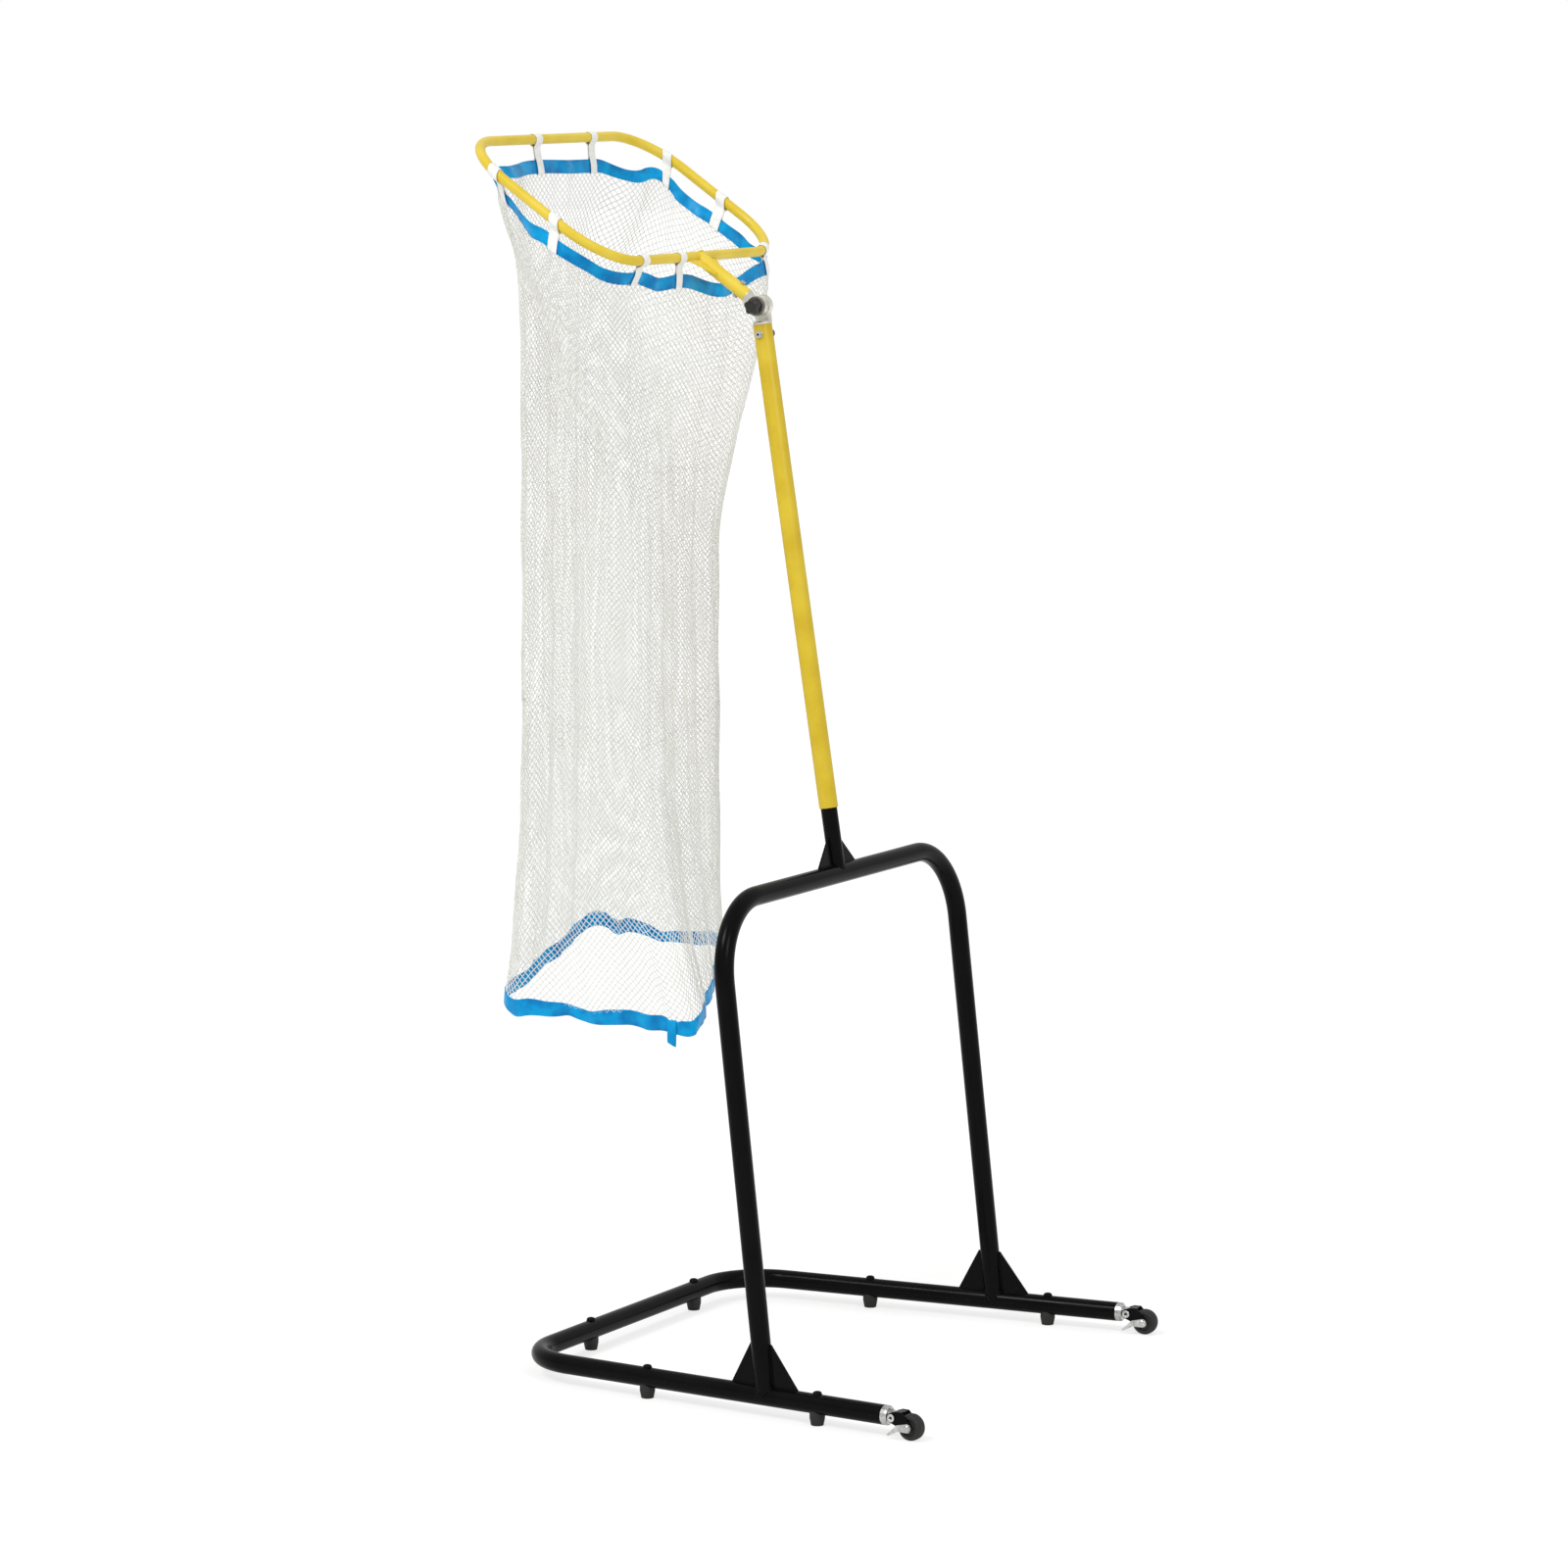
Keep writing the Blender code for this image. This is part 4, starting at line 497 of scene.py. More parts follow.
def tube_rings(points: np.ndarray, ways: np.ndarray, up: np.ndarray, radius: float | np.ndarray,
               sides: int) -> np.ndarray:
    """Rings of points round a centre line that lies in a plane.

    Args:
        points: The centre line.
        ways: Its directions.
        up: The direction square to its plane.
        radius: The rings' radius, or one for each.
        sides: Points in a ring.

    Returns:
        Points by ring and place in the ring.
    """
    cosines, sines = circle(sides)
    radii = np.broadcast_to(np.asarray(radius, float), (len(points),))[:, None, None]
    spokes = np.cross(up, ways)[:, None] * cosines[:, None] + up * sines[:, None]
    return points[:, None] + spokes * radii


def hollow_tube(shell: Shell, outer: np.ndarray, inner: np.ndarray) -> None:
    """Adds a tube from its outer and inner rings, with both ends closed between them."""
    rings = np.concatenate([outer, inner[::-1]])
    shell.grid(rings[:, ::-1], wrap_a=True, wrap_b=True)


def lathe(shell: Shell, centre: np.ndarray, axis: np.ndarray, profile: list[tuple[float, float]],
          sides: int = 40, closed: bool = False) -> None:
    """Adds a turned body.

    Args:
        shell: The mesh that takes it.
        centre: A point on its axis.
        axis: The way that distances run.
        profile: Radius and distance pairs in millimetres, outer face to the left as they run.
        sides: Points round it.
        closed: Joins the profile's end to its start, which keeps the bore open.
    """
    across = unit(np.cross(axis, UP if abs(axis @ UP) < 0.9 else ACROSS))
    up = np.cross(axis, across)
    cosines, sines = circle(sides)
    spokes = across * cosines[:, None] + up * sines[:, None]
    rows = [(r, d) for r, d in profile if r > 0]
    rings = np.array([centre + axis * (d * MM) + spokes * (r * MM) for r, d in rows])
    first = shell.grid(rings[:, ::-1], wrap_a=closed, wrap_b=True)
    if closed:
        return
    if profile[0][0] == 0:
        shell.cap(range(first, first + sides))
    if profile[-1][0] == 0:
        last = first + sides * (len(rows) - 1)
        shell.cap(range(last + sides - 1, last - 1, -1))


def turned_piece(name: str, centre: np.ndarray, axis: np.ndarray, profile: list[tuple[float, float]],
                 sides: int, body: str, finish: Finish, replaced: tuple[str, ...] = (),
                 closed: bool = False) -> None:
    """Turns a profile into a piece of its own.

    Args:
        name: The piece's name.
        centre: A point on its axis.
        axis: The way that distances run.
        profile: Radius and distance pairs in millimetres, outer face to the left as they run.
        sides: Points round it.
        body: The body that carries it.
        finish: Its finish.
        replaced: The solids that it stands for.
        closed: Joins the profile's end to its start.
    """
    shell = Shell()
    lathe(shell, centre, axis, profile, sides, closed)
    place_piece(name, shell, body, finish, replaced)


def weld_bead(shell: Shell, line: np.ndarray, radius: float, closed: bool = False, sides: int = 7) -> None:
    """Adds a weld bead with the ripples that its pool leaves.

    Args:
        shell: The mesh that takes it.
        line: The points that it follows.
        radius: Its radius.
        closed: Joins its end to its start.
        sides: Points round it.
    """
    if closed:
        line = np.concatenate([line, line[:1]])
    lengths = distances(line)
    total = lengths[-1]
    count = max(int(total / BEAD_STEP), 6)
    places = np.linspace(0, total, count, endpoint=not closed)
    points = points_at(line, lengths, places)
    ways = unit(around(points) if closed else np.gradient(points, axis=0))
    side = unit(np.cross(ways, unit(NO_BEADS_WAY)))
    other = np.cross(ways, side)
    ripple = 1 + BEAD_SWELL * np.sin(2 * math.pi * places / BEAD_RIPPLE)
    ripple += BEAD_WAVER * np.sin(places * 517 + 1.3)
    if not closed:
        ripple *= np.clip(np.minimum(places, total - places) / (2 * MM), 0.35, 1) ** 0.5
    cosines, sines = circle(sides)
    spokes = side[:, None] * cosines[:, None] + other[:, None] * sines[:, None]
    rings = points[:, None] + spokes * (radius * ripple)[:, None, None]
    if closed:
        shell.grid(rings[:, ::-1], wrap_a=True, wrap_b=True)
    else:
        shell.rod(rings)


def straight_bead(shell: Shell, start: np.ndarray, end: np.ndarray, radius: float) -> None:
    """Adds a weld bead from one point to another."""
    weld_bead(shell, start + (end - start) * np.linspace(0, 1, 12)[:, None], radius)


def weld_plates(welds: Shell, base: np.ndarray, way: np.ndarray, shift: np.ndarray, inner: float,
                rises: tuple[float, float], level: float, reaches: tuple[float, float],
                radius: float) -> None:
    """Adds the beads along both faces of the two plates beside a tube.

    Args:
        welds: The mesh that takes them.
        base: A point on the tube's centre line.
        way: The tube's direction.
        shift: From the plates' middle to one of their faces.
        inner: From the centre line to the plates.
        rises: Where the bead along the tube starts and ends.
        level: Where the bead along the bar lies.
        reaches: How far out that bead starts and ends.
        radius: The beads' radius.
    """
    for side in (-1, 1):
        for face in (-1, 1):
            foot = base + ACROSS * side * inner + shift * face
            straight_bead(welds, *(foot + way * rise for rise in rises), radius)
            line = foot + way * level
            straight_bead(welds, *(line + ACROSS * side * reach for reach in reaches), radius)


def meet_tube(start: np.ndarray, way: np.ndarray, offsets: np.ndarray, axis: np.ndarray,
              radius: float) -> np.ndarray:
    """Where the lines of a tube's wall come out of a second tube that its centre line starts from.

    Args:
        start: A point on the second tube's centre line.
        way: The first tube's direction.
        offsets: Points of its ring, from its centre line.
        axis: The second tube's direction.
        radius: The second tube's radius.

    Returns:
        The points on the second tube's surface.
    """
    flat = offsets - (offsets @ axis)[:, None] * axis
    slope = way - axis * (way @ axis)
    a = slope @ slope
    b = flat @ slope
    c = (flat ** 2).sum(axis=1) - radius ** 2
    reach = (-b + np.sqrt(np.maximum(b * b - a * c, 0.0))) / a
    return start + offsets + way * reach[:, None]


@dataclass
class FloorFrame:
    """The U-shaped floor tube with its feet, the leg frame on it, the stub and their plates."""

    tube_radius: float = 0.0212
    wall: float = 0.0016
    sides: int = 40
    bend_steps: int = 28
    axis_height: float = 0.045
    length: float = 0.940
    half_width: float = 0.474
    splay: float = 0.080
    bend: float = 0.140
    leg_x: float = 0.643
    leg_lean: float = math.radians(6.46)
    leg_height: float = 1.041
    leg_bend: float = 0.165
    leg_bend_steps: int = 30
    leg_bead: float = 2.8 * MM
    gusset_reach: float = 0.062
    gusset_rise: float = 0.090
    plate: float = 0.004
    plate_bead: float = 1.9 * MM
    mast_lean: float = math.radians(8.96)
    stub_radius: float = 0.01806
    stub_end: float = 0.295
    stub_wall: float = 0.002
    stub_bead: float = 2.6 * MM
    stub_plate_bead: float = 1.8 * MM
    stub_plate_rise: float = 0.058
    stub_plate_reach: float = 0.059
    foot_rows: tuple[tuple[str, float, float], ...] = (
        ("front_near", 0.0, -0.173), ("front_far", 0.0, 0.282), ("near_front", 0.338, -1.0),
        ("near_rear", 0.772, -1.0), ("far_front", 0.338, 1.0), ("far_rear", 0.772, 1.0))
    # Radius and height pairs in millimetres, then the rims that follow the tube above.
    foot_profile: tuple[tuple[float, float], ...] = (
        (11.6, 0.0), (13.0, 0.25), (13.8, 1.2), (14.0, 3.6), (13.6, 4.1), (13.6, 4.7), (14.4, 5.2),
        (15.9, 13.0), (16.5, 16.0), (16.5, 20.0))
    foot_top: tuple[float, float] = (16.5, 10.0)
    bolt_profile: tuple[tuple[float, float], ...] = (
        (10.4, 0.0), (10.4, 0.9), (9.7, 1.6), (9.5, 2.6), (8.6, 4.4), (6.6, 5.8), (3.4, 6.5), (3.0, 6.3),
        (2.8, 4.8))
    # Rings of a bolt's head under this height follow the tube below.
    bolt_skirt: float = 1.0

    def __post_init__(self) -> None:
        """Finds the frame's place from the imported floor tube."""
        low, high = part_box("base_tube")
        self.shift = np.array((low.x + self.tube_radius, (low.y + high.y) / 2, 0.0))
        self.leg_way = np.array((-math.sin(self.leg_lean), 0.0, math.cos(self.leg_lean)))
        self.mast_way = np.array((-math.sin(self.mast_lean), 0.0, math.cos(self.mast_lean)))
        between_feet = self.shift + np.array((self.leg_x, 0.0, self.axis_height))
        self.top_bar = between_feet + self.leg_way * self.leg_height

    def arm(self, side: int, x: float) -> np.ndarray:
        """A point on an arm's centre line; side is -1 near and 1 far."""
        reach = self.half_width + self.splay * x / self.length
        return self.shift + np.array((x, side * reach, self.axis_height))

    def arm_way(self, side: int) -> np.ndarray:
        """The way an arm runs towards its wheel."""
        return unit(np.array((self.length, side * self.splay, 0.0)))

    def build(self) -> None:
        """Builds every piece of the frame."""
        self.build_floor_tube()
        self.build_feet()
        self.build_leg_frame()
        self.build_stub()
        for label in ("near", "far"):
            dress_node(f"stub_gusset_{label}", BLACK_PAINT, 0.5)
            for end in ("front", "rear"):
                dress_node(f"leg_gusset_{label}_{end}", BLACK_PAINT, 0.5)

    def build_floor_tube(self) -> None:
        """The floor tube, smooth round its bends."""
        corners = [self.arm(-1, self.length), self.arm(-1, 0), self.arm(1, 0), self.arm(1, self.length)]
        points, ways = rounded_line(corners, self.bend, self.bend_steps)
        shell = Shell()
        hollow_tube(shell, *(tube_rings(points, ways, UP, radius, self.sides)
                             for radius in (self.tube_radius, self.tube_radius - self.wall)))
        place_piece("floor_tube", shell, "stand", BLACK_PAINT, ("base_tube",))

    def saddle_drop(self, around: np.ndarray, axis: np.ndarray) -> np.ndarray:
        """How far the tube's surface has fallen away at level offsets from its top line."""
        off = around - (around @ axis)[:, None] * axis
        return self.tube_radius - np.sqrt(np.maximum(self.tube_radius ** 2 - (off ** 2).sum(axis=1), 0))

    def build_feet(self) -> None:
        """The rubber feet, shaped to the tube above, and their bolts' heads."""
        for label, x, y in self.foot_rows:
            on_arm = abs(y) == 1.0
            centre = self.arm(int(y), x) if on_arm else self.shift + np.array((0, y, self.axis_height))
            axis = self.arm_way(int(y)) if on_arm else ACROSS
            self.build_foot(label, centre, axis)

    def build_foot(self, label: str, centre: np.ndarray, axis: np.ndarray) -> None:
        """One foot and its bolt.

        Args:
            label: The foot's name.
            centre: The point of the tube's centre line above it.
            axis: The tube's direction there.
        """
        cosines, sines = circle(36)
        spokes = np.stack([cosines, sines, 0 * sines], axis=-1) * MM
        floor = np.array((centre[0], centre[1], 0.0))
        rings = [floor + spokes * r + UP * (z * MM) for r, z in self.foot_profile]
        under = self.axis_height - self.tube_radius - 0.2 * MM
        for radius in self.foot_top:
            offsets = spokes * radius
            rise = under + self.saddle_drop(offsets, axis)
            rings.append(floor + offsets + rise[:, None] * UP)
        shell, head = Shell(), Shell()
        shell.rod(np.array(rings))
        place_piece(f"rubber_foot_{label}", shell, "stand", BLACK_RUBBER, (f"foot_{label}",))

        top = floor + UP * (self.axis_height + self.tube_radius)
        rows = []
        for r, z in self.bolt_profile:
            offsets = spokes * r
            drop = self.saddle_drop(offsets, axis) * (z < self.bolt_skirt)
            rows.append(top + offsets + (z * MM - drop)[:, None] * UP)
        head.rod(np.array(rows))
        place_piece(f"foot_bolt_head_{label}", head, "stand", BLACK_PAINT, (f"foot_bolt_{label}",))

    def build_leg_frame(self) -> None:
        """The leg frame, its ends shaped to the floor tube, and the welds round them."""
        feet = {side: self.arm(side, self.leg_x) for side in (-1, 1)}
        rise = self.leg_way * self.leg_height
        corners = [feet[-1], feet[-1] + rise, feet[1] + rise, feet[1]]
        points, ways = rounded_line(corners, self.leg_bend, self.leg_bend_steps)
        up = np.cross(self.leg_way, ACROSS)
        shell, welds = Shell(), Shell()
        walls = []
        for radius in (self.tube_radius, self.tube_radius - self.wall):
            rings = tube_rings(points, ways, up, radius, self.sides)
            for end, side in ((0, -1), (-1, 1)):
                offsets = rings[end] - points[end]
                rings[end] = meet_tube(feet[side], self.leg_way, offsets, self.arm_way(side),
                                       self.tube_radius + COPE_ROOM)
                if radius == self.tube_radius:
                    weld_bead(welds, rings[end], self.leg_bead, closed=True)
            walls.append(rings)
        hollow_tube(shell, *walls)
        place_piece("leg_hoop", shell, "stand", BLACK_PAINT, ("leg_frame",))
        for side in (-1, 1):
            self.weld_leg_gussets(welds, feet[side], self.arm_way(side))
        place_piece("leg_welds", welds, "stand", BLACK_PAINT, sharp=60)

    def weld_leg_gussets(self, welds: Shell, foot: np.ndarray, along: np.ndarray) -> None:
        """The beads along both faces of a leg's two plates.

        Args:
            welds: The mesh that takes them.
            foot: Where the leg's centre line meets the arm's.
            along: The way the arm runs.
        """
        across = np.cross(UP, along)
        low = self.tube_radius + SEAT
        high = low + self.gusset_rise
        for way in (-1, 1):
            for side in (-1, 1):
                base = foot + across * side * (self.plate / 2 + 1.0 * MM)
                ends = [base + along * self.leg_face(z, way) + UP * z for z in (low + 3 * MM, high - 2 * MM)]
                straight_bead(welds, *ends, self.plate_bead)
                line = base + UP * (low - 0.4 * MM) + along * self.leg_face(low, way)
                ends = [line + along * way * reach for reach in (3 * MM, self.gusset_reach - 2 * MM)]
                straight_bead(welds, *ends, self.plate_bead)

    def leg_face(self, height: float, way: int) -> float:
        """How far along its arm a leg's face stands at a height; way is -1 in front and 1 behind."""
        return -height * math.tan(self.leg_lean) + way * self.tube_radius / math.cos(self.leg_lean)

    def build_stub(self) -> None:
        """The stub that carries the pole, and the welds round it and its plates."""
        start, end = self.top_bar, self.top_bar + self.mast_way * self.stub_end
        points = np.array([start, end - self.mast_way * MM, end])
        ways = np.repeat(self.mast_way[None], 3, axis=0)
        shell, welds = Shell(), Shell()
        walls = []
        for radius, edge in ((self.stub_radius, -0.8), (self.stub_radius - self.stub_wall, 0.3)):
            radii = np.array((radius, radius, radius + edge * MM))
            rings = tube_rings(points, ways, ACROSS, radii, self.sides)
            offsets = tube_rings(points[:1] * 0, ways[:1], ACROSS, radius, self.sides)[0]
            rings[0] = meet_tube(start, self.mast_way, offsets, ACROSS, self.tube_radius + COPE_ROOM)
            if edge < 0:
                weld_bead(welds, rings[0], self.stub_bead, closed=True)
            walls.append(rings)
        hollow_tube(shell, *walls)
        place_piece("mast_socket_tube", shell, "stand", BLACK_PAINT, ("mast_stub",))
        low = self.tube_radius + SEAT
        shift = np.cross(self.mast_way, ACROSS) * (self.plate / 2 + 1.0 * MM)
        weld_plates(welds, self.top_bar, self.mast_way, shift, self.stub_radius + SEAT,
                    (low + 3 * MM, low + self.stub_plate_rise), low - 0.4 * MM,
                    (3 * MM, self.stub_plate_reach), self.stub_plate_bead)
        place_piece("stub_welds", welds, "stand", BLACK_PAINT, sharp=60)


@dataclass
class Caster:
    """One wheel with its plug, yoke, bolts and brake lever."""

    floor_frame: FloorFrame
    side: int
    wheel_x: float = 0.066
    pin_x: float = 0.026
    wheel_radius: float = 0.028

    def __post_init__(self) -> None:
        """Finds the caster's place on its arm."""
        self.label = "near" if self.side < 0 else "far"
        self.along = self.floor_frame.arm_way(self.side)
        self.across = np.cross(UP, self.along)
        end = self.floor_frame.arm(self.side, self.floor_frame.length)
        self.pin = end + self.along * self.pin_x
        self.hub = end + self.along * self.wheel_x
        self.hub = np.array((self.hub[0], self.hub[1], self.wheel_radius))

    def build(self) -> None:
        """Builds the turned pieces and dresses the others."""
        self.build_wheel()
        self.build_axle()
        self.build_yoke_bolt()
        dress_node(f"end_plug_{self.label}", ZINC_PLATE, 0.4)
        dress_node(f"caster_yoke_{self.label}", BLACK_PAINT, 0.4)
        dress_node(f"brake_lever_{self.label}", ZINC_PLATE, 0.3)

    def build_wheel(self) -> None:
        """The moulded wheel, with a recess in each side and a parting line round its tread."""
        half = [(4.5, 12.0), (8.2, 12.0), (8.8, 11.4), (9.4, 9.2), (16.8, 9.2), (17.6, 11.2), (18.6, 12.0),
                (23.5, 12.0), (25.6, 11.2), (27.1, 9.4), (27.8, 7.0), (28.0, 4.0), (28.0, 0.5), (27.8, 0.0)]
        profile = [(r, -d) for r, d in half[:-1]] + half[::-1]
        turned_piece(f"wheel_{self.label}", self.hub, self.across, profile, 56, f"wheel_{self.label}",
                     BLACK_RUBBER, (f"caster_wheel_{self.label}",), closed=True)

    def build_axle(self) -> None:
        """The axle with a domed cap on each end."""
        outer, inner = 23.7, 19.7
        near = [(0, -outer - 0.6), (1.6, -outer - 0.5), (4.2, -outer), (6.4, -outer + 1.0),
                (7.5, -outer + 2.2), (7.5, -inner)]
        middle = [(4.0, -inner), (4.0, 16.4)]
        far = [(7.5, 16.4), (7.5, 18.6), (6.4, 19.8), (4.2, 20.6), (0, 20.8)]
        turned_piece(f"axle_{self.label}", self.hub, self.across, near + middle + far, 32, "stand",
                     ZINC_PLATE, (f"axle_bolt_{self.label}",))

    def build_yoke_bolt(self) -> None:
        """The bolt through the plug's ear, with a black disc at the bottom of the socket in its bright head
        as painted shade.
        """
        profile = [(0, -17.4), (3.4, -17.4), (3.4, -19.4), (4.0, -19.8), (8.0, -19.6), (8.6, -19.0),
                   (8.6, -16.4), (4.0, -16.4), (4.0, 16.4), (8.6, 16.4), (8.6, 19.0), (8.0, 19.6), (0, 19.8)]
        turned_piece(f"yoke_pin_{self.label}", self.pin, self.across, profile, 32, "stand", ZINC_PLATE,
                     (f"yoke_bolt_{self.label}",))
        # Painted shade: a thin black disc at the bottom of the socket stands in for the shade inside the
        # recess.
        disc = [(0, -17.9), (3.35, -17.9), (3.35, -17.45), (0, -17.45)]
        turned_piece(f"yoke_pin_socket_painted_shade_{self.label}", self.pin, self.across, disc, 24, "stand", BLACK_NYLON)


@dataclass
class Mast:
    """The pole on its stub, with the tilt joint's fixed half and the knobs."""

    floor_frame: FloorFrame
    pole_radius: float = 0.0207
    pole_wall: float = 0.0017
    sides: int = 48
    pole_start: float = 0.145
    pole_length: float = 1.0555
    pivot_above: float = 0.040
    clamp_below: float = 0.021
    lobes: int = 5
    lobe_depth: float = 0.2
    flutes: int = 16
    flute_depth: float = 0.08
    # Rings of the two knobs: radius and distance in millimetres, and the share of lobes or flutes.
    star_rows: tuple[tuple[float, float, float], ...] = (
        (4.5, -22.6, 0.0), (8.0, -22.6, 0.0), (11.0, -22.8, 0.3), (14.2, -23.6, 0.8), (17.0, -25.2, 1.0),
        (18.2, -27.4, 1.0), (18.5, -30.0, 1.0), (18.5, -36.0, 1.0), (18.0, -39.0, 1.0), (16.6, -41.0, 1.0),
        (14.4, -42.2, 0.8), (11.6, -42.6, 0.4), (9.8, -42.6, 0.0), (9.2, -41.8, 0.0), (8.4, -41.2, 0.0),
        (2.0, -41.0, 0.0))
    grip_rows: tuple[tuple[float, float, float], ...] = (
        (3.6, 29.9, 0.0), (3.6, 21.1, 0.0), (7.6, 21.1, 0.0), (8.6, 22.0, 0.0), (9.6, 23.4, 1.0),
        (10.0, 25.0, 1.0), (10.0, 31.0, 1.0), (9.4, 33.4, 1.0), (7.8, 34.8, 0.0), (3.0, 35.1, 0.0))

    def __post_init__(self) -> None:
        """Works out the places along the mast."""
        way = self.floor_frame.mast_way
        self.pole_end = self.pole_start + self.pole_length
        self.pivot = self.floor_frame.top_bar + way * (self.pole_end + self.pivot_above)
        self.clamp = self.floor_frame.top_bar + way * (self.pole_end - self.clamp_below)

    def build(self) -> None:
        """Builds the pole, the knobs and bolts, and dresses the castings."""
        self.build_pole()
        self.build_star_knob()
        self.build_clamp()
        dress_node("joint_base", CAST_ALUMINIUM, 0.5)
        dress_node("pressure_disc", DARK_CASTING, 0.3)
        dress_node("joint_bolt", ZINC_PLATE, 0.3)
        dress_node("pole_stop", BLACK_NYLON)

    def build_pole(self) -> None:
        """The yellow pole, open below over the stub."""
        way, base = self.floor_frame.mast_way, self.floor_frame.top_bar
        start, end = self.pole_start, self.pole_end
        points = base + np.array((start, start + 0.8 * MM, end - 0.6 * MM, end))[:, None] * way
        ways = np.repeat(way[None], len(points), axis=0)
        walls = (self.pole_radius + np.array((-0.6, 0, 0, -0.4)) * MM,
                 self.pole_radius - self.pole_wall + np.array((0.3, 0, 0, 0)) * MM)
        shell = Shell()
        hollow_tube(shell, *(tube_rings(points, ways, ACROSS, radii, self.sides) for radii in walls))
        place_piece("pole", shell, "mast", YELLOW_PAINT, ("pole_tube",))

    def build_star_knob(self) -> None:
        """The lobed knob, with rounded lobes and a dished cap."""
        dips = self.lobe_depth * (0.5 - 0.5 * np.cos(self.lobes * turns(self.lobes * 18)))
        shell = Shell()
        shell.rod(self.knob_rings(self.pivot, self.star_rows, dips), turned=False)
        place_piece("tilt_knob", shell, "tilt_clamp", BLACK_NYLON, ("star_knob",))

    @staticmethod
    def knob_rings(centre: np.ndarray, rows: tuple[tuple[float, float, float], ...],
                   dips: np.ndarray) -> np.ndarray:
        """Rings of a knob whose radius dips in places round it.

        Args:
            centre: A point on its axis, which runs across.
            rows: Each ring's radius and distance in millimetres, and its share of the dips.
            dips: The dips as shares of the radius, in even steps round the knob.

        Returns:
            Points by ring and place in the ring.
        """
        cosines, sines = circle(len(dips))
        spokes = np.stack([sines, np.zeros(len(dips)), cosines], axis=-1)
        return np.array([
            centre + spokes * (radius * MM * (1 - share * dips))[:, None] + ACROSS * (depth * MM)
            for radius, depth, share in rows])

    def build_clamp(self) -> None:
        """The clamp bolt with its washer, a black disc at the bottom of its socket as painted shade, and the
        fluted knob on its far end.
        """
        near = -21.0
        profile = [(0, near - 3.2), (3.0, near - 3.2), (3.0, near - 5.3), (3.4, near - 5.5),
                   (5.2, near - 5.3), (5.6, near - 4.8), (5.6, near - 1.6), (8.2, near - 1.5),
                   (8.6, near - 1.1), (8.6, near), (3.0, near), (3.0, 29.0), (0, 29.0)]
        turned_piece("clamp_screw", self.clamp, ACROSS, profile, 32, "mast", ZINC_PLATE, ("clamp_bolt",))
        # Painted shade: a thin black disc at the bottom of the socket stands in for the shade inside the
        # recess.
        disc = [(0, near - 3.7), (2.95, near - 3.7), (2.95, near - 3.25), (0, near - 3.25)]
        turned_piece("clamp_screw_socket_painted_shade", self.clamp, ACROSS, disc, 24, "mast", BLACK_NYLON)
        dips = self.flute_depth * (1 - np.abs(np.sin(self.flutes / 2 * turns(self.flutes * 6))) ** 0.6)
        knob = Shell()
        knob.rod(self.knob_rings(self.clamp, self.grip_rows, dips))
        place_piece("clamp_grip", knob, "pole_clamp", BLACK_NYLON, ("clamp_knob",))


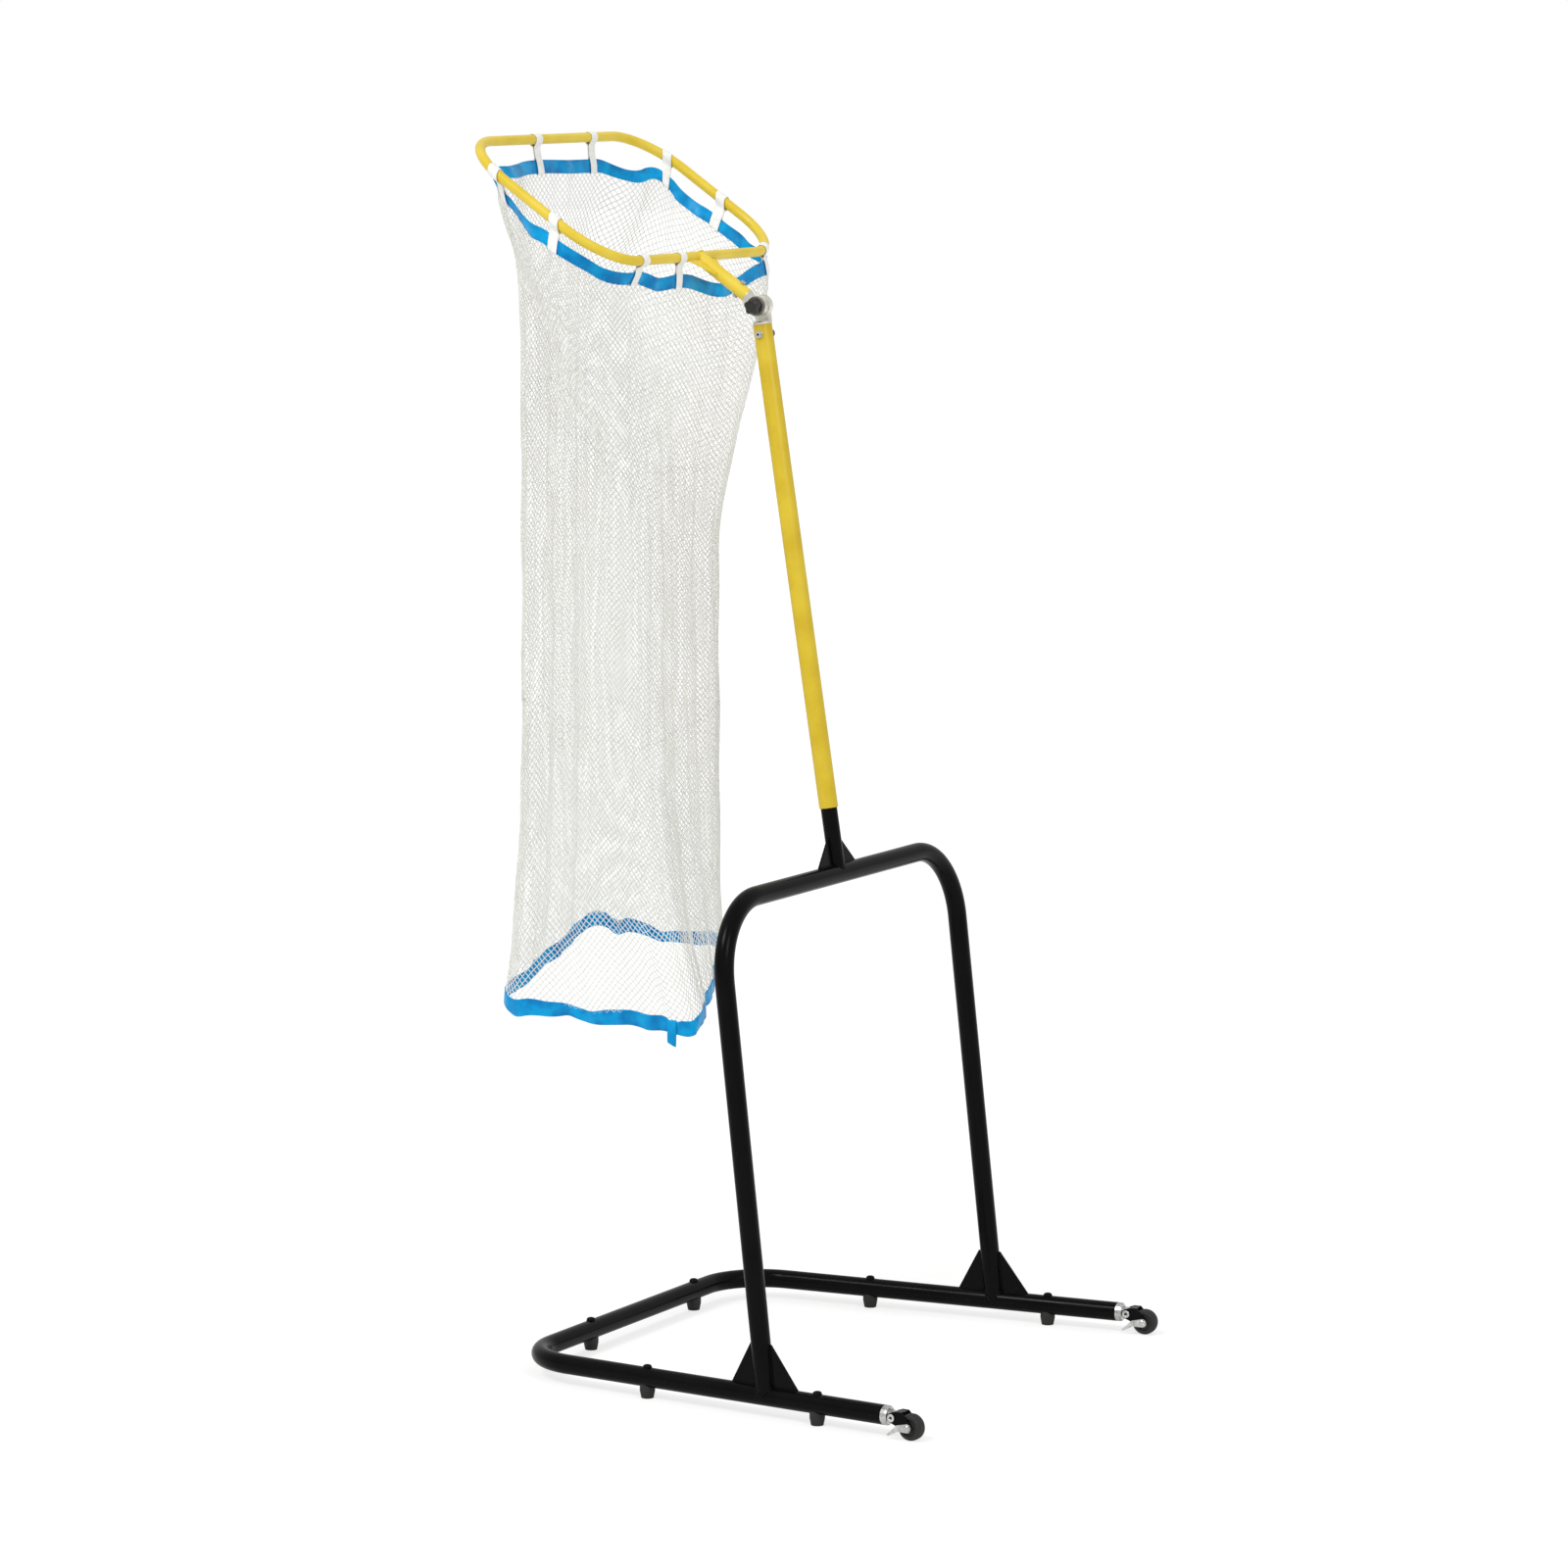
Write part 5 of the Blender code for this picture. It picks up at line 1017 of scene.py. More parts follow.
@dataclass
class Hoop:
    """The tilted hoop with its stub, plates and welds, and the line that straps and hem hang from."""

    mast: Mast
    radius: float = 0.011
    sides: int = 32
    bend_steps: int = 30
    table_steps: int = 90
    width: float = 0.7715
    length: float = 0.4455
    corner: float = 0.133
    tilt: float = math.radians(34.0)
    pivot_to_rear: float = 0.185
    stub_radius: float = 0.015
    stub_wall: float = 0.0016
    stub_sides: int = 36
    stub_start: float = 0.0373
    stub_bead: float = 2.2 * MM
    plate_bead: float = 1.5 * MM
    plate_face: float = 2.2 * MM
    gusset_reach: float = 0.045
    gusset_rise: float = 0.055

    def __post_init__(self) -> None:
        """Works out the hoop's plane and its centre line, as an even table of points."""
        self.way = np.array((-math.cos(self.tilt), 0.0, math.sin(self.tilt)))
        self.normal = np.cross(self.way, ACROSS)
        self.rear = self.mast.pivot + self.way * self.pivot_to_rear
        self.centre = self.rear + self.way * (self.length / 2)
        half = ACROSS * (self.width / 2)
        front = self.rear + self.way * self.length
        self.corners = [self.rear + half, front + half, front - half, self.rear - half]
        points, _ = rounded_line(self.corners, self.corner, self.table_steps, closed=True)
        self.table = np.concatenate([[self.rear], points, [self.rear]])
        self.places = distances(self.table)
        self.total = self.places[-1]

    def at(self, shares: np.ndarray) -> np.ndarray:
        """Points of the centre line at shares of the way round, from the rear bar towards the far side."""
        return points_at(self.table, self.places, (np.asarray(shares) % 1.0) * self.total)

    def ways(self, shares: np.ndarray) -> np.ndarray:
        """Directions of the centre line at the same shares."""
        step = 0.0015
        return unit(self.at(np.asarray(shares) + step) - self.at(np.asarray(shares) - step))

    def inward(self, shares: np.ndarray) -> np.ndarray:
        """Level directions square to the centre line, towards the hoop's middle."""
        return level_side(self.ways(shares))

    def build(self) -> None:
        """Builds the hoop and its stub and dresses the castings and plates."""
        points, ways = rounded_line(self.corners, self.corner, self.bend_steps, closed=True)
        shell = Shell()
        rings = tube_rings(points, ways, self.normal, self.radius, self.sides)
        shell.grid(rings[:, ::-1], wrap_a=True, wrap_b=True)
        place_piece("hoop", shell, "hoop", HOOP_PAINT_LIT, ("hoop_tube",))
        self.build_stub()
        dress_node("joint_head", CAST_ALUMINIUM, 0.5)
        dress_node("stub_bolt", ZINC_PLATE, 0.3)
        for label in ("near", "far"):
            dress_node(f"hoop_gusset_{label}", HOOP_PAINT_LIT, 0.4)

    def build_stub(self) -> None:
        """The short tube under the hoop, and the welds round it and its plates."""
        start = self.mast.pivot + self.way * self.stub_start
        points = np.array([start, start + self.way * 0.6 * MM, self.rear])
        ways = np.repeat(self.way[None], 3, axis=0)
        shell, welds = Shell(), Shell()
        walls = []
        for radius, edge in ((self.stub_radius, -0.5), (self.stub_radius - self.stub_wall, 0.2)):
            radii = np.array((radius + edge * MM, radius, radius))
            rings = tube_rings(points, ways, ACROSS, radii, self.stub_sides)
            offsets = rings[-1] - self.rear
            rings[-1] = meet_tube(self.rear, -self.way, offsets, ACROSS, self.radius + COPE_ROOM)
            if edge < 0:
                weld_bead(welds, rings[-1], self.stub_bead, closed=True)
            walls.append(rings)
        hollow_tube(shell, *walls)
        place_piece("hoop_arm", shell, "hoop", HOOP_PAINT_LIT, ("hoop_stub",))
        bar = self.pivot_to_rear - self.radius - SEAT
        weld_plates(welds, self.mast.pivot, self.way, self.normal * self.plate_face,
                    self.stub_radius + SEAT, (bar - 3 * MM, bar - self.gusset_rise + 2 * MM), bar,
                    (2 * MM, self.gusset_reach - 2 * MM), self.plate_bead)
        place_piece("hoop_welds", welds, "hoop", HOOP_PAINT_LIT, sharp=60)


@dataclass
class Hang:
    """How the hem hangs from the hoop: at each strap a pull inwards and a drop, and a sag between them."""

    hoop: Hoop
    hold: float = 0.014
    height: float = 0.030
    # Each strap's label and place round the hoop, its pull and drop, and the draw and sag of the hem
    # between it and the next one.
    rows: tuple[tuple[str, float, float, float, float, float], ...] = (
        ("rear_far", 0.1350, -0.010, 0.054, -0.004, 0.008),
        ("far_rear", 0.2355, 0.040, 0.060, 0.004, 0.006),
        ("far_front", 0.3115, 0.036, 0.062, 0.026, 0.030),
        ("front_far", 0.4260, 0.006, 0.078, 0.000, 0.001),
        ("front_near", 0.5320, 0.012, 0.074, 0.028, 0.010),
        ("near_front", 0.7005, 0.030, 0.062, 0.004, 0.016),
        ("near_rear", 0.7825, -0.016, 0.060, 0.018, 0.004),
        ("rear_near", 0.8920, 0.026, 0.052, 0.000, 0.010),
        ("rear", 0.9637, 0.006, 0.066, 0.000, 0.032))
    pushes: tuple[tuple[float, int, float], ...] = ((2.6, 17, 0.6), (1.8, 31, 2.0))
    tucks: tuple[tuple[float, int, float], ...] = ((1.6, 23, 0.0),)

    def amounts(self, shares: np.ndarray) -> tuple[np.ndarray, np.ndarray, np.ndarray]:
        """Pull and drop of the hem's lower edge, and how free it is of the straps.

        Args:
            shares: Shares of the way round the hoop.

        Returns:
            Pulls, drops, and freedom from 0 in a strap to 1 half way to the next.
        """
        starts, pulls, drops, draws, sags = np.array([row[1:] for row in self.rows]).T
        held = self.hold / self.hoop.total
        first = (np.searchsorted(starts, shares % 1.0, side="right") - 1) % len(starts)
        after = (first + 1) % len(starts)
        span = (starts[after] - starts[first]) % 1.0
        run = (shares - starts[first]) % 1.0
        part = np.clip((run - held) / (span - 2 * held), 0, 1)
        ease = smooth_step(part)
        free = np.sin(math.pi * part) ** 2
        pull = pulls[first] + (pulls[after] - pulls[first]) * ease + draws[first] * free
        drop = drops[first] + (drops[after] - drops[first]) * ease + sags[first] * free
        return pull, drop, free

    def edges(self, shares: np.ndarray) -> tuple[np.ndarray, np.ndarray, np.ndarray, np.ndarray]:
        """The hem without its small waves.

        Args:
            shares: Shares of the way round the hoop.

        Returns:
            Its upper line, its lower line, the way inwards, and the freedom that amounts gives.
        """
        pull, drop, free = self.amounts(shares)
        inward = self.hoop.inward(shares)
        hang = inward * pull[:, None] - UP * drop[:, None]
        lower = self.hoop.at(shares) + hang
        upper = lower - unit(hang) * self.height
        return upper, lower, inward, free

    def hem_lines(self, shares: np.ndarray) -> tuple[np.ndarray, np.ndarray, np.ndarray]:
        """The hem with its small waves between the straps.

        Args:
            shares: Shares of the way round the hoop.

        Returns:
            Its upper line, its lower line and the way inwards.
        """
        upper, lower, inward, free = self.edges(shares)
        turn = 2 * math.pi * shares
        push, tuck = waves(turn, self.pushes), waves(turn, self.tucks)
        upper = upper + inward * (free * (push + tuck))[:, None]
        lower = lower + inward * (free * (push - tuck))[:, None]
        return upper, lower, inward


def bumps(shares: np.ndarray, rows: tuple[tuple[float, float, float], ...]) -> np.ndarray:
    """Smooth bumps round a closed line.

    Args:
        shares: Shares of the way round.
        rows: Each bump's height in millimetres, its share and its width in shares.

    Returns:
        Their sum in metres at each share.
    """
    total = np.zeros_like(shares)
    for height, at, width in rows:
        away = (shares - at + 0.5) % 1.0 - 0.5
        total = total + height * MM * np.exp(-(away / width) ** 2)
    return total


def chaikin(line: np.ndarray, rounds: int = 3) -> np.ndarray:
    """Rounds a closed line of points by cutting its corners.

    Args:
        line: The corners.
        rounds: How many times they're cut.

    Returns:
        The rounded line.
    """
    for _ in range(rounds):
        after = np.roll(line, -1, axis=0)
        line = np.stack([line * 0.75 + after * 0.25, line * 0.25 + after * 0.75], axis=1).reshape(-1, 2)
    return line


@dataclass
class Straps:
    """The webbing loops, sewn together under the hoop and round the hem."""

    hang: Hang
    width: float = 0.026
    thickness: float = 0.0014
    clearance: float = 0.45 * MM
    # Cutting the corners of the loop's outline leaves this share of its radius.
    shrink: float = 0.981
    stitches: int = 6
    stitch_pitch: float = 3.9 * MM
    stitch_length: float = 2.6 * MM

    def build(self) -> None:
        """Builds each strap and its stitches."""
        stitches = Shell()
        for number, (label, share, pull, drop, *_) in enumerate(self.hang.rows):
            self.build_strap(label, share, pull, drop, number, stitches)
        place_piece("strap_stitches", stitches, "hoop", WHITE_WEBBING, sharp=80)

    def outline(self, length: float, lean: float) -> np.ndarray:
        """A strap's inner line in its own plane: across, and down from the hoop's centre.

        Args:
            length: From the hoop's centre to the hem's lower edge.
            lean: How much longer the loop is than the hoop's radius, where the hoop slopes.

        Returns:
            Points in metres.
        """
        top = (self.hang.hoop.radius + self.clearance) * lean / self.shrink
        arc = np.radians(np.arange(-48, 229, 23))
        loop = [(top * math.cos(a), top * math.sin(a)) for a in arc]
        left = [(-0.9 * MM, -top - 5 * MM), (-0.8 * MM, -top - 10 * MM), (-0.9 * MM, -length + 35 * MM),
                (-2.9 * MM, -length + 28 * MM), (-3.3 * MM, -length + 16 * MM),
                (-3.3 * MM, -length + 2 * MM), (-2.6 * MM, -length - 1.6 * MM)]
        right = [(-x, y) for x, y in reversed(left)]
        return chaikin(np.array(loop + left + right))

    def build_strap(self, label: str, share: float, pull: float, drop: float, number: int,
                    stitches: Shell) -> None:
        """One strap.

        Args:
            label: Its name.
            share: Its place on the hoop.
            pull: How far inwards it carries the hem.
            drop: How far down.
            number: Its number, which varies its folds.
            stitches: The mesh that takes its stitches.
        """
        hoop = self.hang.hoop
        spread = np.array((-0.5, -0.47, -0.25, 0.0, 0.25, 0.47, 0.5)) * self.width
        shares = share + spread / hoop.total
        points, ways, inward = hoop.at(shares), hoop.ways(shares), hoop.inward(shares)
        hang = inward * pull - UP * drop
        down = unit(hang)
        side = unit(inward - down * (inward * down).sum(axis=1, keepdims=True))
        lean = 1 / math.sqrt(1 - ways[3][2] ** 2)
        inner = self.outline(float(np.linalg.norm(hang[3])), lean)
        along = unit(around(inner))
        outward = np.stack([along[:, 1], -along[:, 0]], axis=-1)
        edge = np.array((0.25, 0.9, 1.0, 1.0, 1.0, 0.9, 0.25))
        curl = np.array((1, 1, 0.2, -0.6, 0.2, 1, 1))[None]
        ripple = 0.35 * MM * np.sin(np.arange(len(inner)) * 0.21 + number)[:, None] * curl
        layers = []
        for face in (0, 1):
            depth = self.thickness * (0.5 + (0.5 if face else -0.5) * edge)[None] + np.maximum(ripple, 0)
            flat = inner[:, None] + outward[:, None] * depth[..., None]
            layers.append(points[None] + side[None] * flat[..., :1] - down[None] * flat[..., 1:])
        ring = np.concatenate([layers[0], layers[1][:, ::-1]], axis=1)
        shell = Shell()
        shell.grid(ring, wrap_a=True, wrap_b=True)
        place_piece(f"webbing_{label}", shell, "hoop", WHITE_WEBBING, (f"strap_{label}",), sharp=60)
        self.sew(stitches, points[3], ways[3], side[3], down[3])

    def sew(self, stitches: Shell, centre: np.ndarray, way: np.ndarray, side: np.ndarray,
            down: np.ndarray) -> None:
        """Two rows of stitches across a strap, on both of its faces.

        Args:
            stitches: The mesh that takes them.
            centre: The point of the hoop's centre line inside the strap.
            way: The hoop's direction there.
            side: The way out of the strap's face.
            down: The way that the strap hangs.
        """
        top = self.hang.hoop.radius + 9 * MM
        for row in (0.0, 5.0):
            for face in (-1, 1):
                base = centre + side * face * (0.9 * MM + self.thickness) + down * (top + row * MM)
                for k in range(self.stitches):
                    middle = (k - (self.stitches - 1) / 2) * self.stitch_pitch
                    start = base + way * (middle - self.stitch_length / 2)
                    thread(stitches, start, start + way * self.stitch_length, side * face, 0.42 * MM)


def thread(shell: Shell, start: np.ndarray, end: np.ndarray, out: np.ndarray, radius: float) -> None:
    """Adds one stitch: a short arched thread that dips into the cloth at both ends.

    Args:
        shell: The mesh that takes it.
        start: Where it comes out of the cloth.
        end: Where it goes in again.
        out: The way out of the cloth.
        radius: The thread's radius.
    """
    way = unit(end - start)
    across = np.cross(way, out)
    cosines, sines = circle(6)
    rings = []
    spokes = across * cosines[:, None] + out * sines[:, None]
    # Each ring's share of the way along, then its lift and its size as shares of the radius.
    for part, lift, size in ((0.0, -0.6, 0.6), (0.15, 0.0, 1.0), (0.5, 0.35, 1.0), (0.85, 0.0, 1.0),
                             (1.0, -0.6, 0.6)):
        middle = start + (end - start) * part + out * lift * radius
        rings.append(middle + spokes * radius * size)
    shell.rod(np.array(rings), turned=False)


@dataclass
class NetTube:
    """The hanging net: a tube of crossing twines between two hems."""

    hang: Hang
    columns: int = 122
    rows: int = 226
    twine: float = 1.08 * MM
    funnel: tuple[float, float] = (0.20, 0.62)
    centre_x: float = -0.019
    half: tuple[float, float] = (0.166, 0.200)
    corner: float = 0.060
    rim_corner: float = 0.030
    rim_half: float = 0.200
    near_x: tuple[float, float] = (-0.221, 0.293)
    far_x: tuple[float, float] = (-0.219, 0.134)
    near_z: tuple[float, float] = (0.746, 0.730)
    far_z: tuple[float, float] = (0.886, 0.849)
    waist: float = 1.70
    flare_power: float = 3.0
    folds: int = 12
    fold_depth: float = 0.007
    fold_reach: float = 0.5
    top_tuck: float = 0.11
    bottom_tuck: float = 6 * MM
    slack: float = 0.35 * MM
    rim_height: float = 0.034
    # Lifts of the lower rim, and changes of its hem's height: millimetres, place and width of each.
    rim_lifts: tuple[tuple[float, float, float], ...] = (
        (10, 0.598, 0.020), (5, 0.530, 0.020), (-9, 0.644, 0.014), (8, 0.712, 0.014), (-3, 0.745, 0.014),
        (5, 0.790, 0.018), (4, 0.834, 0.012), (-4, 0.862, 0.014), (-14, 0.329, 0.016), (-9, 0.245, 0.020),
        (8, 0.150, 0.016))
    rim_twists: tuple[tuple[float, float, float], ...] = (
        (5, 0.650, 0.020), (-9, 0.714, 0.014), (-6, 0.738, 0.014), (-9, 0.846, 0.007), (-10, 0.235, 0.050))
    knot_share: float = 0.846
    # Rows where the three lengths part, and two distances under the hoop on the upper one.
    splits: tuple[int, int] = (58, 142)
    bends: tuple[float, float] = (0.085, 0.32)

    def __post_init__(self) -> None:
        """Takes the object's place from the floor frame."""
        self.shift = self.hang.hoop.mast.floor_frame.shift

    def section(self, shares: np.ndarray, half: tuple[float, float], corner: float) -> np.ndarray:
        """Level points of a rounded rectangle round 0, from its rear side's middle to the far side.

        Args:
            shares: Shares of the way round.
            half: Half its length and half its width.
            corner: The radius of its corners.

        Returns:
            Points of two values each.
        """
        corners = [np.array((half[0] * a, half[1] * b, 0.0))
                   for a, b in ((1, 1), (-1, 1), (-1, -1), (1, -1))]
        points, _ = rounded_line(corners, corner, 24, closed=True)
        rear = [(half[0], 0.0, 0.0)]
        line = np.concatenate([rear, points, rear])
        places = distances(line)
        return points_at(line[:, :2], places, (shares % 1.0) * places[-1])

    def rim(self, shares: np.ndarray) -> np.ndarray:
        """The lower rim's lowest line, longer and lower on the near side.

        Args:
            shares: Shares of the way round.

        Returns:
            Its points.
        """
        level = self.section(shares, (1.0, 1.0), self.rim_corner / self.rim_half)
        rear, far = (level[:, 0] + 1) / 2, (level[:, 1] + 1) / 2
        near_x, far_x, near_z, far_z = (
            front + (back - front) * rear
            for front, back in (self.near_x, self.far_x, self.near_z, self.far_z))
        x, z = near_x + (far_x - near_x) * far, near_z + (far_z - near_z) * far
        points = np.stack([x, level[:, 1] * self.rim_half, z], axis=-1)
        return points + self.shift + UP * bumps(shares, self.rim_lifts)[:, None]

    def rim_rise(self, shares: np.ndarray) -> np.ndarray:
        """The lower hem's height, which shrinks where it twists and at its seam."""
        return self.rim_height + bumps(shares, self.rim_twists)

    def folded(self, points: np.ndarray, shares: np.ndarray, depth: np.ndarray,
               height: np.ndarray) -> np.ndarray:
        """Lays the folds into level rings.

        Args:
            points: Points by row and column.
            shares: The columns' shares of the way round.
            depth: The folds' depth by row, from 0 to 1.
            height: The points' heights.

        Returns:
            The folded points.
        """
        turn = 2 * math.pi * shares[None]
        wave = self.fold_depth * (0.5 - 0.5 * np.cos(self.folds * turn))
        # Waves of unlike lengths keep the small folds from repeating.
        drift = np.sin(height * 3.1 + turn * 2) * 1.2
        fine = 1.2 * np.sin(29 * turn + drift * 2 + height * 1.7) + 0.6 * np.sin(53 * turn - height * 4.3)
        shift = wave + (fine + 1.4 * np.sin(height * 23 + 5 * turn)) * MM
        return points + level_side(around(points, 1)) * (shift * depth)[..., None]

    def surface(self, shares: np.ndarray, falls: np.ndarray) -> np.ndarray:
        """Points of the net.

        Args:
            shares: Shares of the way round.
            falls: Shares of the way down from inside the upper hem to inside the lower one.

        Returns:
            Points by fall and share.
        """
        upper, lower, _ = self.hang.hem_lines(shares)
        top = lower + (upper - lower) * self.top_tuck
        bottom = self.rim(shares) + UP * (self.rim_rise(shares) - self.bottom_tuck)[:, None]
        z = top[None, :, 2] + (bottom[:, 2] - top[:, 2])[None] * falls[:, None]
        hoop = self.hang.hoop
        front = (hoop.rear[0] - top[:, 0]) / (hoop.length * math.cos(hoop.tilt))
        reach = self.funnel[1] + (self.funnel[0] - self.funnel[1]) * front
        fallen = smooth_step((top[None, :, 2] - z) / reach[None])
        middle = self.shift[:2] + np.array((self.centre_x, 0.0))
        body = self.section(shares, self.half, self.corner) + middle
        flared = np.clip((self.waist - z) / (self.waist - bottom[None, :, 2]), 0, 1)[..., None]
        flare = flared ** self.flare_power
        level = body[None] + (bottom[None, :, :2] - body[None]) * flare
        level = top[None, :, :2] + (level - top[None, :, :2]) * fallen[..., None]
        points = np.concatenate([level, z[..., None]], axis=-1)
        depth = smooth_step((top[None, :, 2] - z) / self.fold_reach)
        return self.folded(points, shares, depth, z)

    def build(self) -> None:
        """Builds the net's three lengths."""
        shares = np.arange(2 * self.columns) / (2 * self.columns)
        falls = np.arange(self.rows + 1) / self.rows
        grid = self.surface(shares, falls)
        random = np.random.default_rng(SEED)
        inner_rows = np.ones(self.rows + 1)
        inner_rows[[0, -1]] = 0
        grid += random.normal(0, self.slack, grid.shape) * inner_rows[:, None, None]
        down = unit(np.gradient(grid, axis=0))
        round_it = unit(around(grid, 1))
        out = -unit(np.cross(round_it, down))
        upper, lower = self.splits
        lengths = (("net_gathered", 0, upper, "net_top"), ("net_middle", upper, lower, "net_body"),
                   ("net_low", lower, self.rows, "net_body"))
        for name, first, last, node in lengths:
            shell = Shell()
            rows = np.arange(first, last + 1)
            for lean in (1, -1):
                for i in range(self.columns):
                    columns = (2 * i + lean * rows) % (2 * self.columns)
                    self.add_twine(shell, grid[rows, columns], out[rows, columns])
            made = place_piece(name, shell, None if node == "net_top" else "net", WHITE_TWINE,
                               (node,) if name != "net_low" else (), sharp=180)
            self.declare(made)

    def add_twine(self, shell: Shell, points: np.ndarray, out: np.ndarray) -> None:
        """Adds one unbroken twine of three sides, closed at both ends.

        Args:
            shell: The mesh that takes it.
            points: The points that it follows.
            out: The way out of the net at each point.
        """
        ways = unit(np.gradient(points, axis=0))
        side = unit(np.cross(ways, out))
        cosines, sines = circle(3)
        spokes = out[:, None] * cosines[:, None] + side[:, None] * sines[:, None]
        shell.rod(points[:, None] + spokes * self.twine, turned=False)

    def declare(self, made: bpy.types.Object) -> None:
        """Bakes the place of the gathered length, which rides on no body, into its mesh.

        Args:
            made: The length's object.
        """
        if made.name == "net_gathered":
            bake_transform(made)


@dataclass
class Hems:
    """The two blue hems, folded over the net's edges and sewn along both sides."""

    hang: Hang
    net: NetTube
    count: int = 420
    thickness: float = 0.0032
    rolls: tuple[tuple[float, int, float], ...] = ((2.0, 19, 1.0),)
    seams: tuple[float, float] = (0.13, 0.87)
    stitch_pitch: float = 6 * MM
    stitch_ends: tuple[float, float] = (0.15, 0.8)
    # How far the cloth swells at a seam, how deep it creases, and how far the lower hem's top rolls.
    seam_swell: float = 0.62
    crease: float = 0.22 * MM
    top_roll: float = 0.4
    # The tail's outline in millimetres: out of the hem, and up from its middle.
    tail: tuple[tuple[float, float], ...] = (
        (4.0, 11.5), (4.6, 0), (4.4, -15), (5.6, -26), (5.0, -42), (3.2, -43), (2.8, -26), (1.0, -20.5),
        (-3.0, -20), (-4.4, -12), (-4.4, 6), (-3.2, 11.8), (0.6, 12.8))

    def build(self) -> None:
        """Builds both hems and the tied tail on the lower one."""
        shares = np.arange(self.count) / self.count
        upper, lower, inward = self.hang.hem_lines(shares)
        self.band("upper_hem", "hoop", "top_hem", upper, lower, inward)

        low = self.net.rim(shares)
        ring = self.net.folded(low[None], shares, np.ones((1, 1)), low[None, :, 2])[0]
        high = ring + UP * self.net.rim_rise(shares)[:, None]
        inward = level_side(around(ring))
        roll = inward * waves(2 * math.pi * shares, self.rolls)[:, None]
        self.band("lower_hem", "net", "bottom_hem", high - roll * self.top_roll, ring + roll, inward)
        self.build_tail(ring, inward)

    def band(self, name: str, body: str, node: str, upper: np.ndarray, lower: np.ndarray,
             inward: np.ndarray) -> None:
        """One hem: two faces of cloth that swell between two sewn lines.

        Args:
            name: The piece's name.
            body: The body that carries it.
            node: The solid that it stands for.
            upper: Its upper line.
            lower: Its lower line.
            inward: The way to its inner side.
        """
        down = np.array((0.0, 0.03, 0.09, 0.13, 0.17, 0.3, 0.5, 0.7, 0.83, 0.87, 0.91, 0.97, 1.0))
        seam = self.seam_swell
        swell = np.array((0.25, 0.8, 0.9, seam, 0.9, 1.0, 1.0, 1.0, 0.9, seam, 0.9, 0.8, 0.25))
        swell *= self.thickness / 2
        random = np.random.default_rng(SEED + len(name))
        crease = random.normal(0, 1, (len(down), self.count))
        for _ in range(3):
            crease = (crease + np.roll(crease, 1, axis=1) + np.roll(crease, -1, axis=1)) / 3
        crease *= self.crease
        faces = []
        for side in (-1, 1):
            middle = upper[None] + (lower - upper)[None] * down[:, None, None]
            faces.append(middle + inward[None] * (side * swell[:, None] + crease)[..., None])
        ring = np.concatenate([faces[0], faces[1][::-1]])
        shell = Shell()
        shell.grid(ring.transpose(1, 0, 2)[:, ::-1], wrap_a=True, wrap_b=True)
        made = place_piece(name, shell, body, BLUE_HEM, (node,), sharp=80)
        self.sew(name, body, upper, lower, inward)

    def sew(self, name: str, body: str, upper: np.ndarray, lower: np.ndarray,
            inward: np.ndarray) -> None:
        """Two rows of stitches along a hem's outer face.

        Args:
            name: The hem's name.
            body: The body that carries it.
            upper: Its upper line.
            lower: Its lower line.
            inward: The way to its inner side.
        """
        shell = Shell()
        for part in self.seams:
            line = upper + (lower - upper) * part - inward * (self.thickness / 2 * self.seam_swell)
            line = np.concatenate([line, line[:1]])
            outs = np.concatenate([-inward, -inward[:1]])
            lengths = distances(line)
            count = int(lengths[-1] / self.stitch_pitch)
            for k in range(count):
                places = (k + np.array(self.stitch_ends)) * lengths[-1] / count
                start, end = points_at(line, lengths, places)
                out = unit(points_at(outs, lengths, places[0]))
                thread(shell, start + out * 0.15 * MM, end + out * 0.15 * MM, out, 0.4 * MM)
        place_piece(f"{name}_stitches", shell, body, BLUE_HEM, sharp=80)

    def build_tail(self, ring: np.ndarray, inward: np.ndarray) -> None:
        """The short end of the hem's tape, wrapped round it and hanging below.

        Args:
            ring: The lower hem's lowest line.
            inward: The way to its inner side.
        """
        index = round(self.net.knot_share * self.count) % self.count
        out = -inward[index]
        along = np.cross(UP, out)
        centre = ring[index] + UP * self.net.rim_height / 2
        shell = Shell()
        loop = chaikin(np.array(self.tail) * MM, 2)
        spread = np.array((-10.5, -10.0, -4.0, 4.0, 10.0, 10.5)) * MM
        middle = loop.mean(axis=0)
        pinch = np.array((0.75, 0.97, 1.0, 1.0, 0.97, 0.75))
        flat = middle[None, None] + (loop[:, None] - middle[None, None]) * pinch[None, :, None]
        slant = np.clip(-flat[..., 1:] - 0.024, 0, None) * spread[None, :, None] / spread[-1]
        points = centre + out * flat[..., :1] + UP * (flat[..., 1:] - slant * 0.28)
        points = points + along * spread[None, :, None]
        first = shell.grid(points, wrap_a=True)
        count = len(loop)
        shell.cap([first + k * 6 for k in range(count)])
        shell.cap([first + k * 6 + 5 for k in range(count - 1, -1, -1)])
        place_piece("hem_tail", shell, "net", BLUE_HEM, sharp=60)


